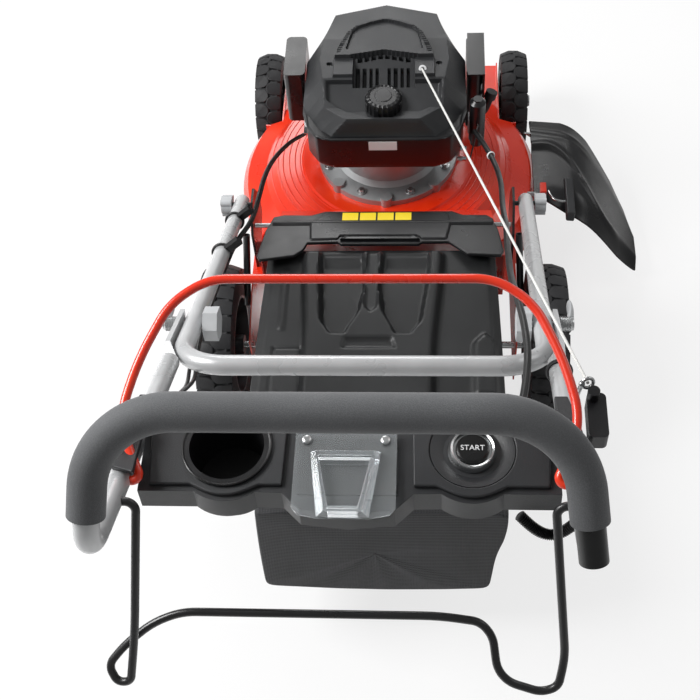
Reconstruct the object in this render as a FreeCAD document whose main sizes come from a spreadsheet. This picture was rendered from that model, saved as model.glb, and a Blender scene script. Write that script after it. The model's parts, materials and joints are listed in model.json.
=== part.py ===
import FreeCAD, Part
import math
import os
import re
import Sketcher
from FreeCAD import Placement, Rotation, Vector

# Walk-behind petrol lawn mower. Frame: +X to the operator's right, +Y forward, +Z up, millimetres.
# The origin is on the ground, straight under the crankshaft.

os.makedirs("parts", exist_ok=True)
doc = FreeCAD.newDocument("lawn_mower")
sheet = doc.addObject("Spreadsheet::Sheet", "Sizes")
ALIASES = []
PIECES = []
SIDES = {"left": -1, "right": 1}


# ---------------------------------------------------------------- sheet and bindings

def sizes(**values):
    """Put driving dimensions (mm, degrees or counts) on the sheet, one cell and alias each."""
    for alias, value in values.items():
        ALIASES.append(alias)
        row = len(ALIASES)
        sheet.set(f"A{row}", alias)
        sheet.set(f"B{row}", str(value))
        sheet.setAlias(f"B{row}", alias)
    sheet.recompute()


def size(alias):
    """The number that a cell holds."""
    return float(sheet.get(alias))


def link(text):
    """A formula in plain aliases, written for the expression engine."""
    return re.sub(r"[a-z][a-z_0-9]*", lambda word: prefixed(word.group()), str(text))


def prefixed(word):
    return f"Sizes.{word}" if word in ALIASES else word


def bind(thing, **formulas):
    """Bind properties to formulas; a double underscore in a name stands for a dot."""
    for name, text in formulas.items():
        thing.setExpression(name.replace("__", "."), link(text))
    return thing


def place(thing, x=0, y=0, z=0):
    bind(thing, Placement__Base__x=x, Placement__Base__y=y, Placement__Base__z=z)


class Piece:
    """A PartDesign body whose sketches and features take their sizes from the sheet."""

    def __init__(self, label, x=0, y=0, z=0, turn=None):
        self.body = doc.addObject("PartDesign::Body", label)
        self.body.Label = label
        if turn:
            self.body.Placement = Placement(Vector(), Rotation(*turn))
        place(self.body, x, y, z)
        PIECES.append(self.body)

    def sketch(self, plane, loops, lift=0):
        """Closed loops on an origin plane: a list of points, or a circle as (x, y, radius).
        The lift is measured along the plane's normal: +Z, -Y and +X for XY, XZ and YZ."""
        drawn = self.body.newObject("Sketcher::SketchObject", "Outline")
        base = [one for one in self.body.Origin.OriginFeatures if one.Role == f"{plane}_Plane"][0]
        drawn.AttachmentSupport = [(base, "")]
        drawn.MapMode = "FlatFace"
        bind(drawn, AttachmentOffset__Base__z=lift)
        for loop in loops:
            if isinstance(loop, tuple):
                circle(drawn, *loop)
            else:
                polygon(drawn, loop)
        return drawn

    def feature(self, kind, **settings):
        made = self.body.newObject(f"PartDesign::{kind}", kind)
        for name, value in settings.items():
            setattr(made, name, value)
        self.last = made
        return made

    def pad(self, plane, loops, length, lift=0):
        """Add material from the lift, along the plane's normal."""
        made = self.feature("Pad", Profile=self.sketch(plane, loops, lift))
        return bind(made, Length=length)

    def cut(self, plane, loops, length, lift=0):
        """Remove material from the lift, along the plane's normal."""
        made = self.feature("Pocket", Profile=self.sketch(plane, loops, lift), Reversed=True)
        return bind(made, Length=length)

    def turn(self, plane, loops, axis="V_Axis", kind="Revolution"):
        drawn = self.sketch(plane, loops)
        return self.feature(kind, Profile=drawn, ReferenceAxis=(drawn, [axis]))

    def loft(self, plane, stages, kind="AdditiveLoft"):
        """Loft through (loop, lift) stages with straight sides."""
        drawn = [self.sketch(plane, [loop], lift) for loop, lift in stages]
        return self.feature(kind, Profile=drawn[0], Sections=drawn[1:], Ruled=True)

    def ring(self, feature, count):
        """Repeat the last feature round its own sketch's normal axis through the origin."""
        spread = self.feature("PolarPattern", Originals=[feature], Angle=360,
                              Axis=(feature.Profile[0], ["N_Axis"]))
        bind(spread, Occurrences=count)
        self.body.Tip = spread

    def soften(self, radius, chosen):
        """Round the edges for which chosen(edge) is true."""
        doc.recompute()
        base = self.last
        names = [f"Edge{n}" for n, edge in enumerate(base.Shape.Edges, 1) if chosen(edge)]
        made = self.feature("Fillet", Base=(base, names))
        bind(made, Radius=radius)


def circle(drawn, x, y, radius):
    made = drawn.addGeometry(Part.Circle(Vector(1, 1, 0), Vector(0, 0, 1), 5))
    measure(drawn, "DistanceX", x, -1, 1, made, 3)
    measure(drawn, "DistanceY", y, -1, 1, made, 3)
    measure(drawn, "Radius", radius, made)


def polygon(drawn, points):
    count = len(points)
    start = drawn.GeometryCount
    spots = [Vector(math.cos(a), math.sin(a), 0) for a in (n * math.tau / count for n in range(count))]
    for n in range(count):
        drawn.addGeometry(Part.LineSegment(spots[n], spots[(n + 1) % count]))
    for n in range(count):
        follower = start + (n + 1) % count
        drawn.addConstraint(Sketcher.Constraint("Coincident", start + n, 2, follower, 1))
    for n, (x, y) in enumerate(points):
        measure(drawn, "DistanceX", x, -1, 1, start + n, 1)
        measure(drawn, "DistanceY", y, -1, 1, start + n, 1)


def measure(drawn, kind, text, *where):
    number = drawn.addConstraint(Sketcher.Constraint(kind, *where, 1.0))
    drawn.setExpression(f"Constraints[{number}]", link(text))


def rectangle(low_x, high_x, low_y, high_y):
    return [(low_x, low_y), (high_x, low_y), (high_x, high_y), (low_x, high_y)]


def mirrored(half):
    """A closed loop from its right-hand half, listed from one end of the middle line to the other."""
    return half + [(f"-({x})", y) for x, y in reversed(half)]


def upright(edge):
    ends = edge.Vertexes
    if len(ends) < 2:
        return False
    span = ends[1].Point - ends[0].Point
    return abs(span.z) > 0.99 * span.Length


# ---------------------------------------------------------------- bent tubes and cords

def bent(points, radius=None):
    """Straight runs joined by tangent arcs. Without a radius, each arc is as large as its runs allow."""
    edges = []
    start = points[0]
    for before, corner, after in zip(points, points[1:], points[2:]):
        back = (before - corner).normalize()
        ahead = (after - corner).normalize()
        turn = math.pi - back.getAngle(ahead)
        shorter = min((before - corner).Length, (after - corner).Length)
        bend = radius or 0.45 * shorter / math.tan(turn / 2)
        reach = bend * math.tan(turn / 2)
        inward = (back + ahead).normalize()
        middle = corner + inward * (bend / math.cos(turn / 2) - bend)
        edges.append(Part.LineSegment(start, corner + back * reach).toShape())
        edges.append(Part.Arc(corner + back * reach, middle, corner + ahead * reach).toShape())
        start = corner + ahead * reach
        BENDS.append(bend)
    edges.append(Part.LineSegment(start, points[-1]).toShape())
    return Part.Wire(edges)


BENDS = []


def rod(points, diameter, radius=None):
    """A round solid along a bent route."""
    path = bent(points, radius)
    ring = Part.Wire(Part.Circle(points[0], points[1] - points[0], diameter / 2).toShape())
    return path.makePipeShell([ring], True, False)


def tube(points, diameter, wall, radius):
    return rod(points, diameter, radius).cut(rod(points, diameter - 2 * wall, radius))


def both(point):
    """A point and its mirror image on the left."""
    return Vector(-point.x, point.y, point.z), point


def cross_pin(x, y, z, radius, length):
    """A cylinder along X, centred on the point."""
    return Part.makeCylinder(radius, length, Vector(x - length / 2, y, z), Vector(1, 0, 0))


def keep(label, shape):
    """A piece whose shape is made by Part's own functions."""
    made = doc.addObject("Part::Feature", label)
    made.Label = label
    made.Shape = shape
    PIECES.append(made)
    return made


def group(label, members):
    """Put like pieces in one node, as separate solids."""
    made = doc.addObject("Part::Compound", label)
    made.Label = label
    made.Links = members
    for member in members:
        member.Label = f"{label}_{member.Name}"
        PIECES.remove(member)
    PIECES.append(made)


def cord(label, routes, diameter):
    """Cords or cables along hand-laid routes, and a check of their volume and bends."""
    BENDS.clear()
    solids = [rod([Vector(*spot) for spot in route], diameter) for route in routes]
    length = sum(bent([Vector(*spot) for spot in route]).Length for route in routes)
    volume = sum(solid.Volume for solid in solids)
    share = volume / (length * math.pi * diameter ** 2 / 4)
    tightest = min(BENDS, default=0)
    print(f"{label}: length {length:.0f}, volume share {share:.3f}, tightest bend {tightest:.0f}")
    keep(label, solids[0] if len(solids) == 1 else Part.makeCompound(solids))


# ---------------------------------------------------------------- wheels and axles

sizes(front_axle_y=242, front_wheel_dia=200, front_tread=50, front_outer_x=271,
      rear_axle_y=-398, rear_wheel_dia=280, rear_tread=60, rear_outer_x=308,
      axle_radius=6, running_gap=0.05, rim_share=0.62, rim_wall=5, web=8, hub_radius=17,
      hub_overhang=4, shoulder=7, spoke_holes=6, hub_cap_radius=11, hub_cap_thick=5, end_gap=0.5)


def wheel(end, side):
    mid_x = f"{SIDES[side]} * ({end}_outer_x - {end}_tread / 2)"
    at = dict(x=mid_x, y=f"{end}_axle_y", z=f"{end}_wheel_dia / 2")
    half = f"({end}_tread / 2)"
    outer = f"({end}_wheel_dia / 2)"
    rim = f"({end}_wheel_dia / 2 * rim_share)"
    tyre = Piece(f"{end}_{side}_tyre", **at)
    tyre.turn("XY", [[(f"-{half}", rim), (f"-{half}", f"{outer} - shoulder"),
                      (f"-{half} + shoulder", outer), (f"{half} - shoulder", outer),
                      (half, f"{outer} - shoulder"), (half, rim)]], "H_Axis")
    hub = Piece(f"{end}_{side}_hub", **at)
    bore = "axle_radius + running_gap"
    long = f"({half} + hub_overhang)"
    hub.turn("XY", [[(f"-{long}", bore), (f"-{long}", "hub_radius"), ("-web / 2", "hub_radius"),
                     ("-web / 2", f"{rim} - rim_wall"), (f"-{half}", f"{rim} - rim_wall"),
                     (f"-{half}", rim), (half, rim), (half, f"{rim} - rim_wall"),
                     ("web / 2", f"{rim} - rim_wall"), ("web / 2", "hub_radius"),
                     (long, "hub_radius"), (long, bore)]], "H_Axis")
    across = f"(hub_radius + {rim} - rim_wall) / 2"
    hole = hub.cut("YZ", [(across, 0, f"({rim} - rim_wall - hub_radius) * 0.34")], "web", "-web / 2")
    hub.ring(hole, "spoke_holes")


for end in ("front", "rear"):
    for side in SIDES:
        wheel(end, side)


def axle(end):
    """Steel rod through both wheels, with a nut outside each hub."""
    y = size(f"{end}_axle_y")
    z = size(f"{end}_wheel_dia") / 2
    face = size(f"{end}_outer_x") + size("hub_overhang") + size("end_gap")
    nut = size("hub_cap_thick")
    shaft = cross_pin(0, y, z, size("axle_radius"), 2 * (face + nut))
    nuts = [cross_pin(s * (face + nut / 2), y, z, size("hub_cap_radius"), nut) for s in (-1, 1)]
    return shaft.fuse(nuts)


group("axles", [keep(f"{end}_axle", axle(end)) for end in ("front", "rear")])


# ---------------------------------------------------------------- deck

sizes(deck_radius=281, deck_top=200, deck_skirt=45, wall=2.5, side_top=135, shaft_hole=16,
      nose_half=214, nose_front=292, nose_top=150, nose_bottom=45, well_back=130,
      duct_start=140, duct_end=325, duct_half_start=190, duct_half_end=206,
      duct_low_start=55, duct_high_start=198, duct_low_end=188, duct_high_end=296,
      plate_x=228, plate_front=-130, plate_back=-430, plate_low=80, plate_high=222,
      flange_front=-235, flange_back=-325, outlet_back=-60, outlet_front=90, outlet_high=118,
      belt_slot_half=52, belt_slot_low=82, belt_slot_high=100)


def dome(radius, start, floor, drop):
    """Half section of the round cutting chamber, from the rim up to the engine's seat."""
    return [(start, floor), (radius, floor), (radius, f"side_top - {drop}"),
            (f"{radius} - 10", f"side_top + 15 - {drop}"), (f"{radius} - 48", f"side_top + 33 - {drop}"),
            (f"{radius} - 70", f"deck_top - 8 - {drop}"), (f"{radius} - 118", f"deck_top - 4 - {drop}"),
            (f"{radius} - 121", f"deck_top - {drop}"), (start, f"deck_top - {drop}")]


def duct(shrink):
    """Rear discharge duct as two rectangles: inside the chamber and at the bag's mouth."""
    return [(rectangle(f"-duct_half_{at} + {shrink}", f"duct_half_{at} - {shrink}",
                       f"duct_low_{at} + {shrink}", f"duct_high_{at} - {shrink}"), f"duct_{at}")
            for at in ("start", "end")]


deck = Piece("deck")
deck.turn("XZ", [dome("deck_radius", "shaft_hole", "deck_skirt", "0")])
deck.loft("XZ", duct("0"))
deck.pad("XY", [rectangle("-nose_half", "nose_half", "deck_radius / 2", "nose_front")],
         "nose_top - nose_bottom", "nose_bottom")
for inner, outer in (("nose_half", "deck_radius + 10"), ("-deck_radius - 10", "-nose_half")):
    deck.cut("XY", [rectangle(inner, outer, "well_back", "nose_front")], "deck_top", 0)
deck.pad("XY", [rectangle("-plate_x", "plate_x", "flange_back", "flange_front")], "wall", "plate_high")
for low in ("-plate_x", "plate_x - wall"):
    deck.pad("YZ", [[("plate_front", "plate_low"), ("plate_back", "plate_low"),
                     ("plate_back", "plate_low + 110"), ("flange_back", "plate_high + wall"),
                     ("flange_front", "plate_high + wall"), ("plate_front", "side_top")]], "wall", low)
deck.turn("XZ", [dome("(deck_radius - wall)", "0", "deck_skirt - 1", "wall")], kind="Groove")
deck.loft("XZ", duct("wall"), "SubtractiveLoft")
deck.cut("XY", [rectangle("-nose_half + wall", "nose_half - wall", "deck_radius / 2 - 20",
                          "nose_front - wall")], "nose_top - nose_bottom - wall + 1", "nose_bottom - 1")
for low in ("-nose_half", "nose_half - wall"):
    deck.pad("XY", [rectangle(low, f"{low} + wall", "well_back - wall", "nose_front - wall")],
             "nose_top + 10 - deck_skirt", "deck_skirt")
for inner, outer in (("nose_half - wall", "nose_half + 33"), ("-nose_half - 33", "-nose_half + wall")):
    deck.pad("XY", [rectangle(inner, outer, "well_back - wall", "well_back")],
             "nose_top - deck_skirt", "deck_skirt")
deck.cut("YZ", [rectangle("outlet_back", "outlet_front", "deck_skirt - 1", "outlet_high")],
         "deck_radius / 2", "deck_radius / 2")
deck.cut("YZ", [("front_axle_y", "front_wheel_dia / 2", "axle_radius + 0.2"),
                ("rear_axle_y", "rear_wheel_dia / 2", "axle_radius + 0.2")], "600", "-300")
deck.cut("XZ", [rectangle("-belt_slot_half", "belt_slot_half", "belt_slot_low", "belt_slot_high")],
         "deck_radius", "deck_radius / 2")
deck.cut("XY", [(0, 0, "shaft_hole")], "20", "deck_top - 10")

# ---------------------------------------------------------------- engine, fixed pieces

sizes(crank_radius=12.5, sump_base_radius=130, sump_base_high=212, sump_radius=92, sump_high=288,
      lug_circle=124, lug_radius=11, lug_count=8,
      cylinder_back=93, cylinder_front=149, cylinder_half=40, cylinder_low=225, cylinder_high=284,
      fin_thick=2.4, fin_pitch=7, fin_reach=10, fin_count=8)

crankcase = Piece("crankcase")
crankcase.turn("XZ", [[("crank_radius + running_gap", "deck_top"), ("sump_base_radius", "deck_top"),
                       ("sump_base_radius", "sump_base_high"), ("sump_radius + 8", "sump_base_high + 3"),
                       ("sump_radius", "sump_base_high + 12"), ("sump_radius - 4", "sump_high - 24"),
                       ("sump_radius - 20", "sump_high - 4"), ("sump_radius - 34", "sump_high"),
                       ("crank_radius + running_gap", "sump_high")]])
lug = crankcase.pad("XY", [("lug_circle", 0, "lug_radius")], "sump_base_high - deck_top + 7", "deck_top")
crankcase.ring(lug, "lug_count")

cylinder = Piece("cylinder")
cylinder.pad("XZ", [rectangle("-cylinder_half", "cylinder_half", "cylinder_low", "cylinder_high")],
             "cylinder_front - cylinder_back", "-cylinder_front")
fin = cylinder.pad("XZ", [rectangle("-cylinder_half - fin_reach", "cylinder_half + fin_reach",
                                    "cylinder_low", "cylinder_high")],
                   "fin_thick", "-cylinder_front")
fins = cylinder.feature("LinearPattern", Originals=[fin], Direction=(fin.Profile[0], ["N_Axis"]))
bind(fins, Length="fin_pitch * (fin_count - 1)", Occurrences="fin_count")
cylinder.body.Tip = fins

sizes(hood_low=290, hood_ledge=338, hood_top=430, hood_back=-124, hood_split=-34, hood_front=156,
      hood_half=142, hood_wall=3, panel_top=442)


def hood(step, back, narrow):
    """Faceted plan of the fan housing; step moves every side inward."""
    return mirrored([(f"{narrow} - {step}", f"{back} + {step}"), (f"hood_half - {step}", f"{back} + 62"),
                     (f"hood_half - {step}", "60"), (f"100 - {step}", "125"),
                     (f"55 - {step} / 2", f"hood_front - {step}")])


def crown(step):
    return mirrored([(f"92 - {step}", f"-32 + {step}"), (f"122 - {step}", "8"), (f"121 - {step}", "52"),
                     (f"92 - {step}", "112"), (f"45 - {step} / 2", f"144 - {step}")])


fan_housing = Piece("fan_housing")
fan_housing.pad("XY", [hood("0", "hood_back", "108")], "hood_ledge - hood_low", "hood_low")
fan_housing.loft("XY", [(hood("0", "hood_split", "120"), "hood_ledge"), (crown("0"), "hood_top")])
fan_housing.cut("XY", [hood("hood_wall", "hood_back", "108")],
                "hood_ledge - hood_low - hood_wall + 1", "hood_low - 1")
fan_housing.loft("XY", [(hood("hood_wall", "hood_split", "120"), "hood_ledge - 2 * hood_wall"),
                        (crown("hood_wall"), "hood_top - hood_wall")], "SubtractiveLoft")
for side in (-1, 1):
    slot = fan_housing.cut("XY", [rectangle(f"{side} * 34 - 15", f"{side} * 34 - 12", "-22", "4")],
                           "30", "hood_top - 10")
    slots = fan_housing.feature("LinearPattern", Originals=[slot],
                                Direction=(slot.Profile[0], ["H_Axis"]), Length=24, Occurrences=4)
    fan_housing.body.Tip = slots

recoil_cover = Piece("recoil_cover")
recoil_cover.pad("XY", [mirrored([("55", "11"), ("72", "40"), ("60", "93")])],
                 "panel_top - hood_top", "hood_top")
recoil_cover.soften("3", upright)

sizes(tank_back=-124, tank_front=-37, tank_half=116, tank_top=396, tank_wall=3, neck_y=-73, neck_radius=20,
      cap_radius=31, cap_top=419, cap_flutes=24, cap_plug=19, cap_gap=0.4)

fuel_tank = Piece("fuel_tank")
fuel_tank.pad("XY", [mirrored([("tank_half - 20", "tank_back"), ("tank_half", "tank_back + 22"),
                               ("tank_half", "tank_front - 12"), ("tank_half - 12", "tank_front")])],
              "tank_top - hood_ledge", "hood_ledge")
fuel_tank.cut("XY", [mirrored([("tank_half - 22", "tank_back + tank_wall"),
                               ("tank_half - tank_wall", "tank_back + 24"),
                               ("tank_half - tank_wall", "tank_front - 14"),
                               ("tank_half - 14", "tank_front - tank_wall")])],
              "tank_top - hood_ledge - 2 * tank_wall", "hood_ledge + tank_wall")
fuel_tank.cut("XY", [(0, "neck_y", "neck_radius")], "20", "tank_top - 10")

fuel_cap = Piece("fuel_cap", y="neck_y")
fuel_cap.turn("XZ", [[(0, "tank_top - 8"), ("cap_plug", "tank_top - 8"), ("cap_plug", "tank_top + cap_gap"),
                      ("cap_radius", "tank_top + cap_gap"), ("cap_radius", "cap_top - 4"),
                      ("cap_radius - 4", "cap_top"), (0, "cap_top")]])
flute = fuel_cap.cut("XY", [("cap_radius + 1", 0, "2.2")], "cap_top - tank_top", "tank_top")
fuel_cap.ring(flute, "cap_flutes")


def block(label, low_x, high_x, low_y, high_y, low_z, high_z, corner):
    """A rounded box between six faces."""
    made = Piece(label)
    made.pad("XY", [rectangle(low_x, high_x, low_y, high_y)], f"({high_z}) - ({low_z})", low_z)
    made.soften(corner, upright)
    return made


sizes(filter_in=-144, filter_out=-182, muffler_in=144, muffler_out=173, guard_thick=2.5,
      bay_back=17, bay_front=118, filter_low=272, filter_high=384, muffler_low=250, muffler_high=380,
      carb_in=-97, carb_out=-138, carb_back=-34, carb_front=12, carb_low=232, carb_high=284)

block("air_filter_box", "filter_out", "filter_in", "bay_back", "bay_front", "filter_low", "filter_high", "9")
block("muffler", "muffler_in", "muffler_out", "bay_back", "bay_front", "muffler_low", "muffler_high", "12")
carburettor = block("carburettor", "carb_out", "carb_in", "carb_back", "carb_front", "carb_low + 14",
                    "carb_high", "4")
carburettor.pad("XY", [("(carb_in + carb_out) / 2", "(carb_back + carb_front) / 2", "16")], "14", "carb_low")

guard = Piece("muffler_guard")
guard.pad("YZ", [rectangle("bay_back - 4", "bay_front + 4", "muffler_low - 2", "muffler_high + 4")],
          "guard_thick", "muffler_out + 1")
guard.pad("YZ", [rectangle("bay_back - 4", "bay_front + 4", "muffler_high + 1.5", "muffler_high + 4")],
          "muffler_out - muffler_in", "muffler_in + 2")
sizes(vent_rows=6, vent_columns=4, vent_pitch_y=16, vent_pitch_z=24)
vent = guard.cut("YZ", [rectangle("bay_back + 5", "bay_back + 15", "muffler_low + 10", "muffler_low + 26")],
                 "12", "muffler_out - 2")
grid = guard.feature("MultiTransform", Originals=[vent])
steps = []
for axis, count, pitch in (("H_Axis", "vent_rows", "vent_pitch_y"),
                           ("V_Axis", "vent_columns", "vent_pitch_z")):
    step = guard.body.newObject("PartDesign::LinearPattern", "Row")
    step.Direction = (vent.Profile[0], [axis])
    bind(step, Length=f"{pitch} * ({count} - 1)", Occurrences=count)
    steps.append(step)
grid.Transformations = steps
guard.body.Tip = grid

sizes(starter_x=162, starter_y=-62, starter_radius=14, starter_low=292, starter_high=398)
starter_motor = Piece("starter_motor", x="starter_x", y="starter_y")
starter_motor.turn("XZ", [[(0, "starter_low"), ("starter_radius - 3", "starter_low"),
                           ("starter_radius - 3", "starter_low + 12"), ("starter_radius", "starter_low + 12"),
                           ("starter_radius", "starter_high - 8"), ("starter_radius - 6", "starter_high - 2"),
                           ("starter_radius - 6", "starter_high"), (0, "starter_high")]])

sizes(plug_x=0, plug_z=253, plug_tip=196, plug_shell=18)
spark_plug = Piece("spark_plug", x="plug_x", z="plug_z")
spark_plug.pad("XZ", [(0, 0, "9")], "plug_tip - cylinder_front - plug_shell - 4", "-plug_tip + 4")
spark_plug.pad("XZ", [(0, 0, "5")], "plug_shell", "-cylinder_front - plug_shell")
spark_plug.pad("XY", [(0, "plug_tip - 14", "9")], "16", "0")

sizes(filler_radius=8, filler_bore=5.2)
FILLER = [Vector(91, 40, 232), Vector(178, 74, 228), Vector(190, 82, 262)]
filler_axis = (FILLER[2] - FILLER[1]).normalize()
filler = rod(FILLER, 2 * size("filler_radius"), 26)
bore_start = FILLER[2] - filler_axis * 30
filler = filler.cut(Part.makeCylinder(size("filler_bore"), 40, bore_start, filler_axis))
keep("oil_filler_tube", filler.cut(Part.makeCylinder(size("sump_radius"), 60, Vector(0, 0, 212))))
stick = Part.makeCylinder(2, 28, FILLER[2] - filler_axis * 26, filler_axis)
stick = stick.fuse(Part.makeCylinder(11, 14, FILLER[2] + filler_axis * 0.3, filler_axis))
keep("dipstick", stick)

# ---------------------------------------------------------------- crankshaft, flywheel, blade and drive

sizes(shaft_low=64, shaft_high=398, blade_half=236, blade_half_width=27, blade_thick=3.5, blade_low=58,
      adapter_radius=27, adapter_low=61.5, adapter_high=84, pulley_radius=32, pulley_groove=25,
      pulley_high=98, flywheel_radius=78, flywheel_low=300, flywheel_high=318, vane_high=330, vane_count=16,
      gear_pulley_radius=45, gear_pulley_y=-348)

crankshaft = Piece("crankshaft")
crankshaft.turn("XZ", [[(0, "shaft_low"), ("crank_radius", "shaft_low"), ("crank_radius", "flywheel_low"),
                        ("crank_radius - 2", "flywheel_low"), ("crank_radius - 2", "shaft_high"),
                        (0, "shaft_high")]])

flywheel = Piece("flywheel")
flywheel.turn("XZ", [[("crank_radius - 2", "flywheel_low"), ("flywheel_radius", "flywheel_low"),
                      ("flywheel_radius", "flywheel_high"), ("crank_radius - 2", "flywheel_high")]])
vane = flywheel.pad("XY", [rectangle("flywheel_radius - 32", "flywheel_radius - 2", "-1.5", "1.5")],
                    "vane_high - flywheel_high", "flywheel_high")
flywheel.ring(vane, "vane_count")

adapter = Piece("blade_adapter")
adapter.turn("XZ", [[("crank_radius", "shaft_low"), ("adapter_radius", "adapter_low"),
                     ("adapter_radius", "adapter_high"), ("pulley_radius", "adapter_high"),
                     ("pulley_groove", "adapter_high + 6"), ("pulley_groove", "pulley_high - 6"),
                     ("pulley_radius", "pulley_high"), ("crank_radius", "pulley_high")]])

blade = Piece("blade")
blade.pad("XY", [rectangle("-blade_half", "blade_half", "-blade_half_width", "blade_half_width")],
          "blade_thick", "blade_low")
for side in (-1, 1):
    low, high = sorted((side * 0.62, side))
    blade.pad("XY", [[(f"blade_half * {low}", f"{side} * blade_half_width"),
                      (f"blade_half * {high}", f"{side} * blade_half_width"),
                      (f"blade_half * {high}", f"{side} * (blade_half_width - 5)"),
                      (f"blade_half * {low}", f"{side} * (blade_half_width - 5)")]],
              "15", "blade_low + blade_thick")
blade.cut("XY", [(0, 0, "6.2")], "blade_thick", "blade_low")

bolt = Piece("blade_bolt")
bolt.turn("XZ", [[(0, "blade_low - 10"), ("15", "blade_low - 10"), ("15", "blade_low"), ("6", "blade_low"),
                  ("6", "shaft_low"), (0, "shaft_low")]])

gear_pulley = Piece("drive_pulley", y="gear_pulley_y")
gear_pulley.turn("XZ", [[("5.05", "adapter_high"), ("gear_pulley_radius", "adapter_high"),
                         ("gear_pulley_radius - 7", "adapter_high + 6"),
                         ("gear_pulley_radius - 7", "pulley_high - 6"),
                         ("gear_pulley_radius", "pulley_high"), ("5.05", "pulley_high")]])


def belt():
    """Endless belt round both pulleys, lying in their grooves."""
    low = size("adapter_high") + 6.2
    thick = size("pulley_high") - 6.2 - low
    small = size("pulley_groove") + 0.3
    large = size("gear_pulley_radius") - 7 + 0.3
    centre = size("gear_pulley_y")
    rings = []
    for grow in (6, 0):
        near, far = small + grow, large + grow
        lean = math.asin((far - near) / abs(centre))
        side_near = Vector(near * math.cos(lean), near * math.sin(lean), low)
        side_far = Vector(far * math.cos(lean), centre + far * math.sin(lean), low)
        left_near, left_far = both(side_near)[0], both(side_far)[0]
        edges = [Part.LineSegment(side_far, side_near).toShape(),
                 Part.Arc(side_near, Vector(0, near, low), left_near).toShape(),
                 Part.LineSegment(left_near, left_far).toShape(),
                 Part.Arc(left_far, Vector(0, centre - far, low), side_far).toShape()]
        rings.append(Part.Face(Part.Wire(edges)).extrude(Vector(0, 0, thick)))
    return rings[0].cut(rings[1])


keep("drive_belt", belt())

sizes(gearbox_half=58, gearbox_back=-434, gearbox_front=-326, gearbox_low=102, gearbox_high=172)
gearbox = block("gearbox", "-gearbox_half", "gearbox_half", "gearbox_back", "gearbox_front",
                "gearbox_low", "gearbox_high", "18")
gearbox.pad("XY", [(0, "gear_pulley_y", "5")], "gearbox_low - adapter_high + 4", "adapter_high - 4")
gearbox.cut("YZ", [("rear_axle_y", "rear_wheel_dia / 2", "axle_radius + 0.1")], "300", "-150")

# ---------------------------------------------------------------- flap, chute and their hinges

sizes(flap_hinge_y=-272, flap_hinge_z=312, hinge_rod_radius=4, flap_half=190, flap_reach=108, flap_rise=15,
      flap_lip=42, flap_notch=66, flap_notch_half=108,
      flap_thick=4, barrel_radius=7.5, rod_half=216)

flap = Piece("rear_flap", y="flap_hinge_y", z="flap_hinge_z")
flap.body.Placement = Placement(Vector(), Rotation(Vector(-1, 0, 0), 15))
bind(flap.body, Placement__Rotation__Angle="flap_rise")
place(flap.body, 0, "flap_hinge_y", "flap_hinge_z")
flap.pad("YZ", [(0, 0, "barrel_radius")], "2 * flap_half", "-flap_half")
flap.pad("XY", [mirrored([("flap_half - 8", "flap_lip"), ("flap_half", "flap_lip - 6"), ("flap_half + 6", 0),
                          ("flap_half", "-flap_reach + 12"), ("flap_half - 12", "-flap_reach"),
                          ("flap_notch_half + 24", "-flap_reach"), ("flap_notch_half", "-flap_notch"),
                          ("40", "-flap_notch")])],
         "flap_thick", "-flap_thick / 2")
flap.pad("XY", [rectangle("-72", "72", "-52", "-14")], "3", "flap_thick / 2")
flap.cut("YZ", [(0, 0, "hinge_rod_radius + running_gap")], "2 * flap_half + 16", "-flap_half - 8")
flap_rod = keep("flap_rod", cross_pin(0, size("flap_hinge_y"), size("flap_hinge_z"),
                                      size("hinge_rod_radius"), 2 * size("rod_half")))

sizes(chute_hinge_x=292, chute_hinge_z=150, chute_back=-149, chute_front=138, chute_out=468, chute_thick=4,
      chute_low=30, chute_rod_back=-72, chute_rod_front=102)

chute = Piece("side_chute")
chute.pad("XZ", [[("chute_hinge_x + 3", "chute_hinge_z - 3"), ("chute_hinge_x + 60", "chute_hinge_z + 14"),
                  ("chute_out - 46", "chute_hinge_z - 4"), ("chute_out - 8", "chute_hinge_z - 52"),
                  ("chute_out", "chute_low"), ("chute_out - chute_thick", "chute_low"),
                  ("chute_out - 12", "chute_hinge_z - 54"), ("chute_out - 48", "chute_hinge_z - 8"),
                  ("chute_hinge_x + 60", "chute_hinge_z + 10"), ("chute_hinge_x + 3", "chute_hinge_z - 7")]],
          "chute_front - chute_back", "-chute_front")
outline = [("chute_hinge_x - 12", "chute_front - 34"), ("chute_hinge_x + 20", "chute_front - 6"),
           ("chute_hinge_x + 70", "chute_front - 2"), ("chute_out - 50", "chute_front - 40"),
           ("chute_out - 8", "chute_front - 120"), ("chute_out + 1", "chute_back + 80"),
           ("chute_out + 1", "chute_back + 20"), ("chute_out - 12", "chute_back - 1"),
           ("chute_out - 60", "chute_back - 1"), ("chute_hinge_x + 46", "chute_back + 54"),
           ("chute_hinge_x - 12", "chute_back + 62")]
chute.cut("XY", [rectangle("chute_hinge_x - 20", "chute_out + 20", "chute_back - 20", "chute_front + 20"),
                 outline], "200", "chute_low - 10")
chute.pad("XZ", [("chute_hinge_x", "chute_hinge_z", "barrel_radius")],
          "chute_rod_front - chute_rod_back - 40", "-chute_rod_front + 20")
chute.cut("XZ", [("chute_hinge_x", "chute_hinge_z", "hinge_rod_radius + running_gap")], "400", "-200")
for low in ("-chute_rod_front + 7", "-chute_rod_back - 13"):
    chute.cut("XZ", [rectangle("chute_hinge_x - 13", "chute_hinge_x + 13", "chute_hinge_z - 13",
                               "chute_hinge_z + 13")], "6", low)

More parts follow.
